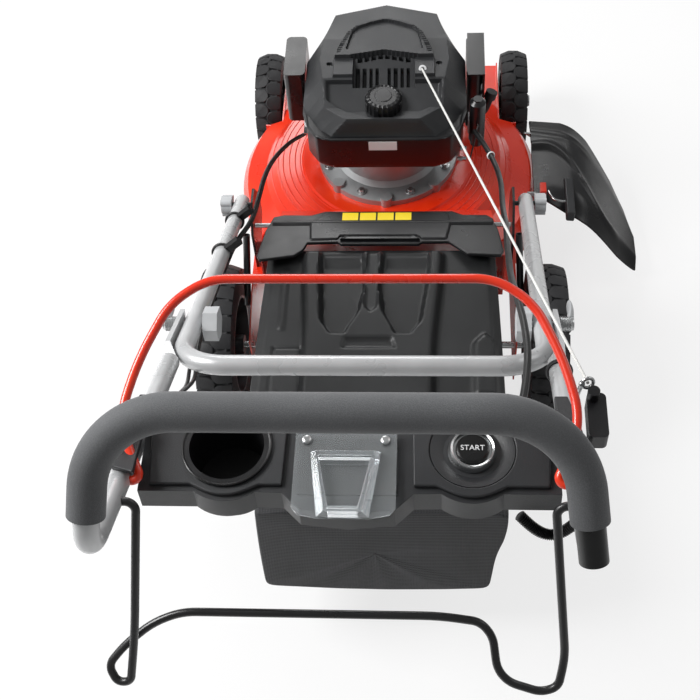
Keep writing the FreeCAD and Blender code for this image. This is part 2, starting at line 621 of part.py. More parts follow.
bracket = Piece("chute_hinge")
bracket.pad("XZ", [("chute_hinge_x", "chute_hinge_z", "hinge_rod_radius")],
            "chute_rod_front - chute_rod_back", "-chute_rod_front")
for low in ("-chute_rod_front + 8", "-chute_rod_back - 12"):
    bracket.pad("XZ", [[("deck_radius - 8", "side_top + 14"), ("chute_hinge_x - 3", "chute_hinge_z - 9"),
                        ("chute_hinge_x + 8", "chute_hinge_z - 8"),
                        ("chute_hinge_x + 8", "chute_hinge_z + 8"),
                        ("chute_hinge_x - 8", "chute_hinge_z + 8"), ("deck_radius - 20", "side_top + 24")]],
                "4", low)

group("hinge_rods", [flap_rod, bracket.body])

# ---------------------------------------------------------------- grass bag

sizes(bag_front=-332, bag_back=-800, cover_low=310, cover_high=323, cover_half_front=191,
      cover_half_back=203, ridge_half=108, ridge_front=-346, ridge_back=-690, ridge_high=340,
      well_half=36, well_x=52, well_front=-356, well_back_y=-566, well_deep=15,
      cloth=3, cloth_half=185, cloth_top=309, cloth_low_front=192, cloth_low_back=118,
      cloth_back_top=-812, cloth_back=-845, frame_rod=8)

cover = Piece("bag_cover")
cover.pad("XY", [mirrored([("cover_half_front", "bag_front"), ("cover_half_front + 4", "bag_front - 130"),
                           ("cover_half_back", "bag_back + 90"), ("cover_half_back - 30", "bag_back")])],
          "cover_high - cover_low", "cover_low")
cover.pad("XY", [mirrored([("ridge_half - 8", "ridge_front"), ("ridge_half", "ridge_front - 10"),
                           ("ridge_half - 10", "ridge_back + 40"), ("ridge_half - 30", "ridge_back")])],
          "ridge_high - cover_high", "cover_high")
for side in (-1, 1):
    cover.cut("XY", [rectangle(f"{side} * well_x - well_half", f"{side} * well_x + well_half",
                               "well_back_y", "well_front")],
              "well_deep + 1", "ridge_high - well_deep")
cover.cut("XY", [mirrored([("cover_half_front - 4", "bag_front - 4"),
                           ("cover_half_front", "bag_front - 130"),
                           ("cover_half_back - 5", "bag_back + 92"),
                           ("cover_half_back - 33", "bag_back + 4")])],
          "3", "cover_low")


cloth_bag = Piece("bag_cloth")
cloth_bag.pad("YZ", [[("bag_front - 3", "cloth_low_front"), ("bag_front - 3", "cloth_top"),
                      ("cloth_back_top", "cloth_top"), ("cloth_back", "cloth_low_back"),
                      ("bag_front - 130", "cloth_low_front - 10")]], "2 * cloth_half", "-cloth_half")
cloth_bag.cut("YZ", [[("bag_front - 2", "cloth_low_front + cloth"), ("bag_front - 2", "cloth_top - cloth"),
                      ("cloth_back_top + cloth", "cloth_top - cloth"),
                      ("cloth_back + cloth + 1", "cloth_low_back + cloth"),
                      ("bag_front - 130", "cloth_low_front - 10 + cloth")]],
              "2 * cloth_half - 2 * cloth", "-cloth_half + cloth")

frame_z = size("cover_low") - size("frame_rod") / 2 - size("cloth") - 5
frame_front = [Vector(s * 172, size("bag_front") - 12, frame_z) for s in (-1, 1)]
frame_back = [Vector(s * 172, size("bag_back") + 8, frame_z) for s in (-1, 1)]
frame_drop = [Vector(s * 172, size("bag_front") - 12, size("cloth_low_front") + 14) for s in (-1, 1)]
hoop = rod([frame_drop[0], frame_front[0], frame_back[0], frame_back[1], frame_front[1], frame_drop[1]],
           size("frame_rod"), 30)
sill = rod(frame_drop, size("frame_rod"))
keep("bag_frame", hoop.fuse(sill))

# ---------------------------------------------------------------- handles

sizes(tube_dia=25, tube_wall=1.5, low_pivot_y=-238, low_pivot_z=327, low_pivot_x=241,
      high_pivot_y=-693, high_pivot_z=606, corner_y=-805, corner_z=674, corner_x=224.5,
      low_bend=60, start_back=18, upper_x=238, elbow_x=232, elbow_y=-1165, elbow_z=883, elbow_bend=45,
      flat_in=241.5, flat_thick=6, flat_width=27, flat_reach=84, round_reach=118,
      grip_x=212, grip_y=-1081, grip_z=1008, grip_bend=85, foam_dia=36, foam_start=48, bolt_radius=4,
      brake_pivot_y=-1040, drive_pivot_y=-1075, brake_rod=10, drive_rod=9)

low_pivot = Vector(size("low_pivot_x"), size("low_pivot_y"), size("low_pivot_z"))
high_pivot = Vector(0, size("high_pivot_y"), size("high_pivot_z"))
low_corner = Vector(size("corner_x"), size("corner_y"), size("corner_z"))
slope = (low_corner - low_pivot).normalize()
low_start = low_pivot - slope * size("start_back")
lower = tube([both(low_start)[0], both(low_corner)[0], low_corner, low_start],
             size("tube_dia"), size("tube_wall"), size("low_bend"))
hole = size("bolt_radius") + size("running_gap")
for spot in (low_pivot, high_pivot):
    lower = lower.cut(cross_pin(0, spot.y, spot.z, hole, 600))
keep("lower_handle", lower)

elbow = Vector(size("elbow_x"), size("elbow_y"), size("elbow_z"))
grip = Vector(size("grip_x"), size("grip_y"), size("grip_z"))
rise = (elbow - Vector(size("upper_x"), high_pivot.y, high_pivot.z)).normalize()
upper_start = Vector(size("upper_x"), high_pivot.y, high_pivot.z) + rise * size("round_reach")


def upper_path(start, diameter):
    """The upper tube: both side rails, the elbows and the grip's arch, as one bent solid."""
    points = [both(start)[0], both(elbow)[0], both(grip)[0], grip, elbow, start]
    edges = []
    bends = [size("elbow_bend"), size("grip_bend"), size("grip_bend"), size("elbow_bend")]
    spot = points[0]
    for before, corner, after, bend in zip(points, points[1:], points[2:], bends):
        back = (before - corner).normalize()
        ahead = (after - corner).normalize()
        turn = math.pi - back.getAngle(ahead)
        reach = bend * math.tan(turn / 2)
        middle = corner + (back + ahead).normalize() * (bend / math.cos(turn / 2) - bend)
        edges.append(Part.LineSegment(spot, corner + back * reach).toShape())
        edges.append(Part.Arc(corner + back * reach, middle, corner + ahead * reach).toShape())
        spot = corner + ahead * reach
    edges.append(Part.LineSegment(spot, points[-1]).toShape())
    ring = Part.Wire(Part.Circle(points[0], points[1] - points[0], diameter / 2).toShape())
    return Part.Wire(edges).makePipeShell([ring], True, False)


def flat_end(side):
    """Flattened end of the upper tube: a plate over the pivot, then a wedge out to the round section."""
    along = Vector(0, rise.y, rise.z).normalize()
    across = Vector(0, -along.z, along.y)

    def outline(reach, near, far, half):
        spot = Vector(0, high_pivot.y, high_pivot.z) + along * reach
        return [spot + Vector(side * x) + across * shift
                for x, shift in ((near, -half), (far, -half), (far, half), (near, half))]

    inner, outer = size("flat_in"), size("flat_in") + size("flat_thick")
    middle = upper_start.x
    sections = [outline(-size("start_back"), inner, outer, size("flat_width") / 2),
                outline(size("flat_reach"), inner, outer, size("flat_width") / 2),
                outline(size("round_reach") + 0.6, middle - 9.4, middle + 9.4, 7.4)]
    rings = [sections[0], sections[2]]
    for before, after in zip(sections, sections[1:]):
        rings += [[before[n], before[n - 1], after[n - 1], after[n]] for n in range(4)]
    return Part.Solid(Part.Shell([Part.Face(Part.makePolygon(ring + ring[:1])) for ring in rings]))


def rail_z(y):
    """Height of the upper rail's centre line."""
    return high_pivot.z + (y - high_pivot.y) * rise.z / rise.y


upper = upper_path(upper_start, size("tube_dia"))
upper = upper.cut(upper_path(upper_start - rise, size("tube_dia") - 2 * size("tube_wall")))
upper = upper.fuse([flat_end(-1), flat_end(1)])
upper = upper.cut(cross_pin(0, high_pivot.y, high_pivot.z, hole, 600))
for kind in ("brake", "drive"):
    y = size(f"{kind}_pivot_y")
    pin_hole = size(f"{kind}_rod") / 2 + size("running_gap")
    upper = upper.cut(cross_pin(0, y, rail_z(y), pin_hole, 2 * size("elbow_x")))
keep("upper_handle", upper)

up_arch = (grip - elbow).normalize()
foam_end = elbow + up_arch * size("foam_start")
foam_path = [both(foam_end)[0], both(grip)[0], grip, foam_end]
foam = rod(foam_path, size("foam_dia"), size("grip_bend"))
keep("grip_foam", foam.cut(rod([both(elbow)[0], both(grip)[0], grip, elbow], size("tube_dia"),
                               size("grip_bend"))))


def side_bolt(side):
    """Bolt through both handles with a hexagon nut on the inside."""
    inner = size("corner_x") - 30
    outer = size("flat_in") + size("flat_thick") + 1
    middle = side * (inner + outer) / 2
    shaft = cross_pin(middle, high_pivot.y, high_pivot.z, size("bolt_radius"), outer - inner)
    nut_x = side * (size("corner_x") - 12)
    points = [Vector(nut_x - side * 19, high_pivot.y + 23 * math.cos(a), high_pivot.z + 23 * math.sin(a))
              for a in (math.pi / 6 + n * math.pi / 3 for n in range(7))]
    nut = Part.Face(Part.makePolygon(points)).extrude(Vector(side * 19, 0, 0))
    return shaft.fuse(nut)


keep("handle_bolts", Part.makeCompound([side_bolt(-1), side_bolt(1)]))

sizes(cam_in=249, cam_thick=19, cam_radius=10, lever_reach=58, lever_thick=8)
for name, side in SIDES.items():
    tilt = math.degrees(math.atan2(slope.z, -slope.y))
    lever = Piece(f"cam_lever_{name}", f"{side} * cam_in", "high_pivot_y", "high_pivot_z",
                  (Vector(1, 0, 0), -tilt))
    low, high = ("0", "cam_thick") if side > 0 else ("-cam_thick", "0")
    lever.pad("XY", [(f"{side} * cam_radius", 0, "cam_radius")], "22", "-11")
    lever.pad("XY", [rectangle(*((f"{side} * 11", f"{side} * (11 + lever_thick)")[::side]), "0",
                               "lever_reach")], "18", "-9")

sizes(knob_in=256, knob_thick=18, knob_radius=15, bracket_in=217.5, bracket_thick=4,
      bracket_front=-188, bracket_back=-292, bracket_high=350)
plates = []
for name, side in SIDES.items():
    plate = Piece(f"handle_bracket_{name}")
    plates.append(plate.body)
    low = "bracket_in" if side > 0 else "-bracket_in - bracket_thick"
    plate.pad("YZ", [[("flange_front", "plate_high + wall"), ("bracket_back", "plate_high + wall"),
                      ("bracket_back", "bracket_high - 40"), ("low_pivot_y - 16", "bracket_high"),
                      ("low_pivot_y + 16", "bracket_high"), ("bracket_front", "bracket_high - 50"),
                      ("bracket_front", "plate_high + 30")]], "bracket_thick", low)
    plate.cut("YZ", [("flap_hinge_y", "flap_hinge_z", "hinge_rod_radius + 0.02")], "600", "-300")
    stud_low = "bracket_in" if side > 0 else "-knob_in - knob_thick + 6"
    plate.pad("YZ", [("low_pivot_y", "low_pivot_z", "bolt_radius")],
              "knob_in + knob_thick - 6 - bracket_in", stud_low)
    knob = Piece(f"bracket_knob_{name}", f"{side} * knob_in", "low_pivot_y", "low_pivot_z")
    knob_low = "0" if side > 0 else "-knob_thick"
    knob.pad("YZ", [(0, 0, "knob_radius")], "knob_thick", knob_low)
    wing = knob.pad("YZ", [("knob_radius", 0, "5.5")], "knob_thick", knob_low)
    knob.ring(wing, "3")
    knob.cut("YZ", [(0, 0, "bolt_radius + running_gap")], "2 * knob_thick", "-knob_thick")

braces = [tube([Vector(s * 228.5, -296, 316), Vector(s * 235.5, -352, 196)], 12, 1.5, 20) for s in (-1, 1)]
group("handle_brackets", [*plates, keep("deck_braces", Part.makeCompound(braces))])

# ---------------------------------------------------------------- console

sizes(console_top=798, console_front=-941, console_back=-1042, console_mid_back=-1067, console_half=219,
      console_mid_half=62, console_thick=42, console_shell=3, arm_out=246, arm_back=-985, arm_thick=6,
      dial_x=128, dial_y=-993, cup_bore=39.5, cup_wall=2, cup_depth=72, cup_rim=47, cup_rim_high=3,
      recess_radius=44, recess_depth=10, ring_radius=23.5, ring_high=8, button_radius=17.2,
      button_gap=0.3, button_travel=3, battery_half=52, battery_back=-1046, battery_front=-980,
      battery_high=46)

console = Piece("console")
plan = mirrored([("console_mid_half - 6", "console_mid_back"), ("console_mid_half", "console_back"),
                 ("console_half", "console_back"), ("console_half", "console_front")])
console.pad("XY", [plan], "console_thick", "console_top - console_thick")
console.soften("7", upright)
for side in (-1, 1):
    edge = [(f"{side} * (console_half - 4)", "console_front"), (f"{side} * (arm_out - 12)", "console_front"),
            (f"{side} * arm_out", "arm_back"), (f"{side} * (console_half - 4)", "arm_back")]
    console.pad("XY", [edge], "arm_thick", "console_top - arm_thick + 4")
console.pad("XY", [("-dial_x", "dial_y", "cup_bore + cup_wall + 4")], "cup_depth", "console_top - cup_depth")
console.pad("XY", [("dial_x", "dial_y", "recess_radius + 3")], "console_thick + 14",
            "console_top - console_thick - 14")
console.cut("XY", [("-dial_x", "dial_y", "cup_bore + cup_wall + 0.1")], "cup_depth + 2",
            "console_top - cup_depth - 1")
console.cut("XY", [("dial_x", "dial_y", "recess_radius")], "recess_depth + 1", "console_top - recess_depth")
console.cut("XY", [("dial_x", "dial_y", "button_radius + 0.3")], "20", "console_top - recess_depth - 14")
console.cut("XY", [rectangle("-battery_half - 1", "battery_half + 1", "battery_back - 1",
                             "battery_front + 1")], "console_thick - console_shell + 1",
            "console_top - console_thick - 1")

block("battery", "-battery_half", "battery_half", "battery_back", "battery_front",
      "console_top - console_thick - 8", "console_top - console_thick - 8 + battery_high", "3")

liner = Piece("cup_holder", x="-dial_x", y="dial_y")
liner.turn("XZ", [[(0, "console_top - cup_depth - 2"), ("cup_bore + cup_wall", "console_top - cup_depth - 2"),
                   ("cup_bore + cup_wall", "console_top"), ("cup_rim", "console_top"),
                   ("cup_rim", "console_top + cup_rim_high"), ("cup_bore", "console_top + cup_rim_high"),
                   ("cup_bore", "console_top - cup_depth + cup_wall"),
                   (0, "console_top - cup_depth + cup_wall")]])

bezel = Piece("start_bezel", x="dial_x", y="dial_y")
bezel.turn("XZ", [[("button_radius + button_gap", "console_top - recess_depth"),
                   ("ring_radius", "console_top - recess_depth"),
                   ("ring_radius", "console_top - recess_depth + ring_high - 2"),
                   ("ring_radius - 2", "console_top - recess_depth + ring_high"),
                   ("button_radius + button_gap", "console_top - recess_depth + ring_high")]])
button = Piece("start_button", x="dial_x", y="dial_y")
button.turn("XZ", [[(0, "console_top - recess_depth - 8"),
                    ("button_radius", "console_top - recess_depth - 8"),
                    ("button_radius", "console_top + 1"), ("button_radius - 2", "console_top + 3"),
                    (0, "console_top + 2")]])

sizes(holder_left=-59, holder_right=51, holder_back=-1076, holder_front=-972, holder_thick=3,
      holder_lift=0.6, tray_half_back=34, tray_half_front=48, tray_high=16)
holder = Piece("card_holder")
holder_low = "console_top + holder_lift"
holder.pad("XY", [rectangle("holder_left", "holder_right", "holder_back", "holder_front")],
           "holder_thick", holder_low)
holder.pad("XY", [mirrored([("tray_half_back", "holder_back - 4"),
                            ("tray_half_front", "holder_front - 12")])], "tray_high", holder_low)
holder.cut("XY", [mirrored([("tray_half_back - 2.5", "holder_back - 1.5"),
                            ("tray_half_front - 2.5", "holder_front - 14.5")])],
           "tray_high", "console_top + holder_lift + holder_thick")
holder.cut("XY", [mirrored([("12", "holder_back + 8"), ("21", "holder_front - 40")])], "20",
           "console_top")

# ---------------------------------------------------------------- bails

sizes(brake_half=210, brake_bar_half=152, brake_bar_y=-836, brake_bar_z=883,
      drive_half=207, drive_bar_y=-1131, drive_bar_z=690)


def brake_bail():
    """Engine-stop bail: pivot pins, arms splayed over the rails and the cross bar with wide corners."""
    y, x = size("brake_pivot_y"), size("brake_half")
    bar = Vector(size("brake_bar_half"), size("brake_bar_y"), size("brake_bar_z"))
    right = [Vector(x + 23, y, rail_z(y)), Vector(x, y, rail_z(y)), bar + Vector(85, -149, -47),
             bar + Vector(69, -86, -27), bar + Vector(40, -26, -9), bar]
    return rod([both(spot)[0] for spot in right] + right[::-1], size("brake_rod"))


def drive_bail():
    """Drive bail: pivot pins, long side arms, looped feet and the cross bar between them."""
    y, z = size("drive_pivot_y"), rail_z(size("drive_pivot_y"))
    x, bar_y, bar_z = size("drive_half"), size("drive_bar_y"), size("drive_bar_z")
    left = [Vector(-x - 26, y, z), Vector(-x, y, z), Vector(-224, bar_y - 24, bar_z + 2),
            Vector(-234, bar_y - 58, bar_z - 52), Vector(-249, bar_y - 58, bar_z - 54),
            Vector(-258, bar_y - 45, bar_z - 40), Vector(-240, bar_y - 28, bar_z - 26),
            Vector(-209, bar_y - 9, bar_z - 9), Vector(-177, bar_y, bar_z)]
    right = [Vector(x + 26, y, z), Vector(x, y, z), Vector(224, bar_y - 34, bar_z - 20),
             Vector(218, bar_y - 56, bar_z - 48), Vector(200, bar_y - 60, bar_z - 53),
             Vector(156, bar_y - 50, bar_z - 45), Vector(150, bar_y - 16, bar_z - 14),
             Vector(137, bar_y - 4, bar_z - 4), Vector(95, bar_y, bar_z)]
    return rod(left + right[::-1], size("drive_rod"))


keep("brake_bail", brake_bail())
keep("drive_bail", drive_bail())

# ---------------------------------------------------------------- starter rope, cables and harness

sizes(rope_dia=3.5, cable_dia=5, harness_dia=9)
ROPE_EXIT = (66, -28, 436)
ROPE_EYE = (250, -917, 808)
cord("starter_rope", [[ROPE_EXIT, ROPE_EYE]], size("rope_dia"))

eye = Part.makeTorus(6, 2, Vector(*ROPE_EYE), Vector(*ROPE_EYE) - Vector(*ROPE_EXIT))
stem_low = Vector(size("upper_x") - 2, ROPE_EYE[1], rail_z(ROPE_EYE[1]) + 8)
stem_high = Vector(ROPE_EYE[0] - 6, ROPE_EYE[1], ROPE_EYE[2] - 2)
stem = Part.makeCylinder(2.5, (stem_high - stem_low).Length, stem_low, stem_high - stem_low)
stem = stem.cut(upper_path(upper_start, size("tube_dia") + 0.1))
keep("rope_guide", eye.fuse(stem.fuse(Part.makeSphere(3.5, stem_high))))

sizes(pull_in=248.5, pull_out=269, pull_back=-979, pull_front=-924, pull_low=778, pull_high=800,
      pull_neck=6.5, pull_neck_high=814)
starter_grip = block("starter_grip", "pull_in", "pull_out", "pull_back", "pull_front",
                     "pull_low", "pull_high", "6")
starter_grip.pad("XY", [("pull_in + pull_neck", "pull_front - pull_neck", "pull_neck")],
                 "pull_neck_high - pull_high + 2", "pull_high - 2")

CLUTCH_CABLE = [(-150, -8, 262), (-172, -40, 276), (-188, -88, 298), (-198, -140, 322), (-202, -196, 346),
                (-204, -250, 360), (-211, -300, 358), (-225, -346, 372), (-231, -400, 400),
                (-229, -480, 449), (-227, -560, 500), (-225, -640, 547), (-222, -700, 583),
                (-214, -760, 618), (-206, -812, 651), (-203, -856, 700), (-203, -912, 762)]
BRAKE_CABLE = [(x - (8 if n > 6 else 2), y - 8, z + (0 if n > 6 else 9))
               for n, (x, y, z) in enumerate(CLUTCH_CABLE)]
cord("control_cables", [CLUTCH_CABLE, BRAKE_CABLE], size("cable_dia"))

HARNESS = [(157, -84, 342), (170, -112, 346), (184, -150, 350), (194, -196, 362), (197, -250, 388),
           (195, -310, 422), (193, -374, 462), (194, -438, 504), (191, -502, 541), (190, -566, 580),
           (188, -626, 622), (190, -686, 664), (196, -750, 694), (198, -816, 716), (190, -880, 730),
           (176, -938, 738)]
cord("wiring_harness", [HARNESS], size("harness_dia"))

# ---------------------------------------------------------------- check and write

doc.recompute()
for thing in doc.Objects:
    wrong = {"Invalid", "Error"} & set(thing.State)
    if wrong:
        raise RuntimeError(f"{thing.Label} is {wrong}")
for piece in PIECES:
    shape = piece.Shape
    if shape.isNull() or not shape.isValid():
        raise RuntimeError(f"{piece.Label} has no valid shape")
    shape.exportStep(f"parts/{piece.Label}.step")
    box = shape.BoundBox
    print(f"{piece.Label}: {len(shape.Solids)} solid(s), {shape.Volume / 1000:.1f} cm3, "
          f"X {box.XMin:.0f}..{box.XMax:.0f}, Y {box.YMin:.0f}..{box.YMax:.0f}, "
          f"Z {box.ZMin:.0f}..{box.ZMax:.0f}")
print(len(PIECES), "pieces")
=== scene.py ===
# %% [markdown]
# A walk-behind petrol lawn mower, seen from behind the handle. The construction model is
# loaded first and fixes every size; the cells below dress it in materials and swap the
# pieces that need softer or finer shapes. All pieces are drawn in millimetres and scaled
# once, so that the numbers read like those on a drawing.

# %% Load the frame
import json
import math
import bmesh
import bpy
from mathutils import Matrix, Vector


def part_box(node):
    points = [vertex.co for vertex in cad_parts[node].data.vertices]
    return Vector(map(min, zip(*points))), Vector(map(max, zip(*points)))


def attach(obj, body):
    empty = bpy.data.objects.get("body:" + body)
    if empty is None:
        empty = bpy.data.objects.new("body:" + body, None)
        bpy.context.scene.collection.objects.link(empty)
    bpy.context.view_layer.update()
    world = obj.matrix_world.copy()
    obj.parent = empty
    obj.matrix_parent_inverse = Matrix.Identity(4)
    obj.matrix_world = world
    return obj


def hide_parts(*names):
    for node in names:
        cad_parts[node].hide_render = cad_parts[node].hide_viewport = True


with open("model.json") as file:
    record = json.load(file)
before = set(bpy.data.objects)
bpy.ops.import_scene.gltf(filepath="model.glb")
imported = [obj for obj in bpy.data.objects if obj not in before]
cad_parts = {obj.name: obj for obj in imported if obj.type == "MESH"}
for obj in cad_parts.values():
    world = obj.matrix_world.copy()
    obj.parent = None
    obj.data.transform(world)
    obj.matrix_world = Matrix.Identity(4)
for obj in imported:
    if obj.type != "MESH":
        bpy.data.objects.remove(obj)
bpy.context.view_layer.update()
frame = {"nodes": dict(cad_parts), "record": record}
NODES = frame["nodes"]
MM = 0.001
print("pieces from the construction model:", len(NODES))

# %% [markdown]
# The camera stands where an operator's head would be, high behind the grip, and looks
# down at the deck. A lens of 64 mm keeps the grip large without bending its arch. Its axes
# are worked out from a heading, a downward pitch and a small roll.

# %% Camera
PITCH, HEADING, ROLL = (math.radians(angle) for angle in (54.92, -6.74, -5.38))
ahead = Vector((math.sin(HEADING) * math.cos(PITCH), math.cos(HEADING) * math.cos(PITCH), -math.sin(PITCH)))
level = Vector((math.cos(HEADING), -math.sin(HEADING), 0))
above = level.cross(ahead)
right = level * math.cos(ROLL) + above * math.sin(ROLL)
top = above * math.cos(ROLL) - level * math.sin(ROLL)
camera = bpy.data.objects.new("camera", bpy.data.cameras.new("camera"))
camera.data.lens = 64.2
camera.data.sensor_width = 36
camera.matrix_world = Matrix.Translation((0.08842, -1.65027, 1.91896)) @ Matrix(
    (right, top, -ahead)).transposed().to_4x4()
bpy.context.scene.collection.objects.link(camera)
bpy.context.scene.camera = camera
print("camera at", [round(v, 2) for v in camera.location])

# %% [markdown]
# Every material is a small graph of nodes. One function adds a node, fills its sockets and
# links it; the rest is only a list of such calls. Colours are written as the sRGB codes a
# painter would pick, and one function turns them into the linear values that light needs.

# %% Node and colour helpers
def linear(code):
    parts = [int(code[n:n + 2], 16) / 255 for n in (0, 2, 4)]
    return (*[v / 12.92 if v <= 0.04045 else ((v + 0.055) / 1.055) ** 2.4 for v in parts], 1)


def add(tree, kind, sockets=None, **settings):
    """Add a node; sockets maps a socket's name or number to a value or to another output."""
    made = tree.nodes.new("ShaderNode" + kind)
    for name, value in settings.items():
        setattr(made, name, value)
    for name, value in (sockets or {}).items():
        if isinstance(value, bpy.types.NodeSocket):
            tree.links.new(value, made.inputs[name])
        else:
            made.inputs[name].default_value = value
    return made


def blank(name):
    made = bpy.data.materials.new(name)
    made.use_nodes = True
    made.node_tree.nodes.clear()
    return made, made.node_tree


print("white in linear light:", linear("ffffff")[:3])

# %% [markdown]
# Most parts of the mower are moulded, cast or sprayed, and differ only in tint, gloss and
# grain. Two noises do that work: a broad one for handling marks and uneven gloss, and a fine
# one, sized in real millimetres, for the pebble or orange peel of the surface itself.

# %% One recipe for moulded, cast and sprayed surfaces
def coated(name, tint, worn, rough, grain_mm, relief, metallic=0.0, spread=0.12, **shader):
    made, tree = blank(name)
    where = add(tree, "TexCoord").outputs["Object"]
    broad = add(tree, "TexNoise", {"Vector": where, "Scale": 9.0, "Detail": 4.0, "Roughness": 0.6})
    fine = add(tree, "TexNoise", {"Vector": where, "Scale": 1 / (grain_mm * MM), "Detail": 2.0})
    patches = add(tree, "MapRange", {"Value": broad.outputs["Fac"], "From Min": 0.4, "From Max": 0.75})
    speck = add(tree, "MapRange", {"Value": fine.outputs["Fac"], "From Min": 0.3, "From Max": 0.7,
                                   "To Min": 0.0, "To Max": 0.35})
    share = add(tree, "Math", {0: patches.outputs[0], 1: speck.outputs[0]}, operation="MAXIMUM")
    colour = add(tree, "Mix", {"Factor": share.outputs[0], 6: linear(tint), 7: linear(worn)},
                 data_type="RGBA")
    gloss = add(tree, "MapRange", {"Value": broad.outputs["Fac"], "From Min": 0.3, "From Max": 0.7,
                                   "To Min": max(rough - spread, 0.03), "To Max": min(rough + spread, 1)})
    bump = add(tree, "Bump", {"Height": fine.outputs["Fac"], "Strength": relief, "Distance": grain_mm * MM})
    body = add(tree, "BsdfPrincipled", {"Base Color": colour.outputs[2], "Roughness": gloss.outputs[0],
                                        "Normal": bump.outputs[0], "Metallic": metallic, **shader})
    add(tree, "OutputMaterial", {"Surface": body.outputs[0]})
    return made


# %% [markdown]
# The deck and the brake bail are pressed steel and rod under gloss powder coat: a saturated
# orange red with faint orange peel, and a clear, hard highlight. A coat layer gives that
# highlight without making the red itself shine.
#
# Housings are injection-moulded polypropylene with a fine spark-eroded grain, which scatters
# the light and keeps black looking charcoal. Tubes are steel under silver-grey paint, small
# hardware is zinc plated, and the crankcase is cast aluminium left as it came from the mould.

# %% Paints, plastics and metals
RED = coated("gloss_red_powder_coat", "dd2606", "ee3e10", 0.3, 1.6, 0.05, spread=0.05,
             **{"Coat Weight": 0.6, "Coat Roughness": 0.12})
HOUSING = coated("grained_polypropylene", "222325", "2e2f31", 0.46, 0.9, 0.3, spread=0.07)
SATIN = coated("satin_black_polypropylene", "0d0d0f", "151517", 0.36, 1.2, 0.15)
COVER = coated("charcoal_polypropylene", "151617", "1f2021", 0.42, 1.0, 0.25, spread=0.06)
GREY = coated("light_grey_nylon", "a9abad", "bfc1c3", 0.45, 1.0, 0.2)
TUBE = coated("silver_grey_enamel", "b4b5b6", "c4c5c6", 0.3, 1.4, 0.05, metallic=0.2,
              **{"Coat Weight": 0.3, "Coat Roughness": 0.1})
ZINC = coated("bright_zinc_plate", "b9bbbc", "d3d4d4", 0.28, 1.2, 0.12, metallic=1.0)
STEEL = coated("machined_steel", "8b8d90", "a5a6a8", 0.32, 0.8, 0.15, metallic=1.0)
CAST = coated("as_cast_aluminium", "9fa1a2", "babcbd", 0.5, 0.9, 0.45, metallic=0.85)
BLACK_STEEL = coated("black_stove_enamel", "0e0e10", "171719", 0.36, 1.5, 0.1,
                     **{"Coat Weight": 0.3, "Coat Roughness": 0.2})
RUBBER = coated("tyre_rubber", "19191b", "29292b", 0.66, 0.9, 0.35)
VINYL = coated("black_vinyl_sheath", "111112", "1b1b1c", 0.42, 1.0, 0.1)
YELLOW = coated("yellow_vinyl_patch", "e6c817", "f0d633", 0.4, 1.0, 0.05)
WHITE = coated("white_vinyl_patch", "d9dadb", "e9e9ea", 0.45, 1.0, 0.05)
ROPE = coated("braided_white_polyester", "cfcfcc", "e8e8e5", 0.7, 0.8, 0.5)
GLOSS_BLACK = coated("gloss_black_abs", "0b0b0c", "121213", 0.3, 1.5, 0.04)

# %% [markdown]
# The grip is a sleeve of closed-cell foam. Its skin is a field of burst bubbles about a
# millimetre across, so a cell pattern is used for both the pits and the paler rims that
# catch the light.

# %% Foam sleeve
FOAM, tree = blank("closed_cell_foam")
where = add(tree, "TexCoord").outputs["Object"]
cells = add(tree, "TexVoronoi", {"Vector": where, "Scale": 1 / (1.1 * MM)})
drift = add(tree, "TexNoise", {"Vector": where, "Scale": 14.0, "Detail": 3.0})
share = add(tree, "MapRange", {"Value": cells.outputs["Distance"], "From Max": 0.75, "To Max": 0.6})
tone = add(tree, "Math", {0: share.outputs[0], 1: drift.outputs["Fac"]}, operation="MULTIPLY")
colour = add(tree, "Mix", {"Factor": tone.outputs[0], 6: linear("4b4c4e"), 7: linear("757779")},
             data_type="RGBA")
bump = add(tree, "Bump", {"Height": cells.outputs["Distance"], "Strength": 0.35, "Distance": 0.0006})
body = add(tree, "BsdfPrincipled", {"Base Color": colour.outputs[2], "Roughness": 0.72,
                                    "Normal": bump.outputs[0], "Sheen Weight": 0.15, "Sheen Roughness": 0.5})
add(tree, "OutputMaterial", {"Surface": body.outputs[0]})

# %% [markdown]
# The grass bag is an open weave of black polyester. The real threads lie under a millimetre
# apart, too fine to show at this distance, so the weave is drawn at 4.2 mm across and 3 mm
# down. Two crossed bands give the threads; where both are low there is a hole.

# %% Woven mesh
MESH, tree = blank("woven_polyester_mesh")
where = add(tree, "TexCoord").outputs["Object"]
place = add(tree, "SeparateXYZ", {0: where})
warp = add(tree, "Math", {0: place.outputs["X"], 1: math.tau / (4.2 * MM)}, operation="MULTIPLY")
run = add(tree, "Math", {0: place.outputs["Y"], 1: place.outputs["Z"]}, operation="SUBTRACT")
weft = add(tree, "Math", {0: run.outputs[0], 1: math.tau / (3.0 * MM)}, operation="MULTIPLY")
waves = [add(tree, "Math", {0: one.outputs[0]}, operation="SINE") for one in (warp, weft)]
weave = add(tree, "Math", {0: waves[0].outputs[0], 1: waves[1].outputs[0]}, operation="MAXIMUM")
fade = add(tree, "TexNoise", {"Vector": where, "Scale": 11.0, "Detail": 3.0})
level_of = add(tree, "MapRange", {"Value": weave.outputs[0], "From Min": -0.6, "From Max": 1.0, "To Max": 0.8})
tone = add(tree, "Math", {0: level_of.outputs[0], 1: fade.outputs["Fac"]}, operation="MULTIPLY")
colour = add(tree, "Mix", {"Factor": tone.outputs[0], 6: linear("050506"), 7: linear("46474b")},
             data_type="RGBA")
bump = add(tree, "Bump", {"Height": weave.outputs[0], "Strength": 0.5, "Distance": 0.0008})
body = add(tree, "BsdfPrincipled", {"Base Color": colour.outputs[2], "Roughness": 0.62,
                                    "Normal": bump.outputs[0], "Sheen Weight": 0.1})
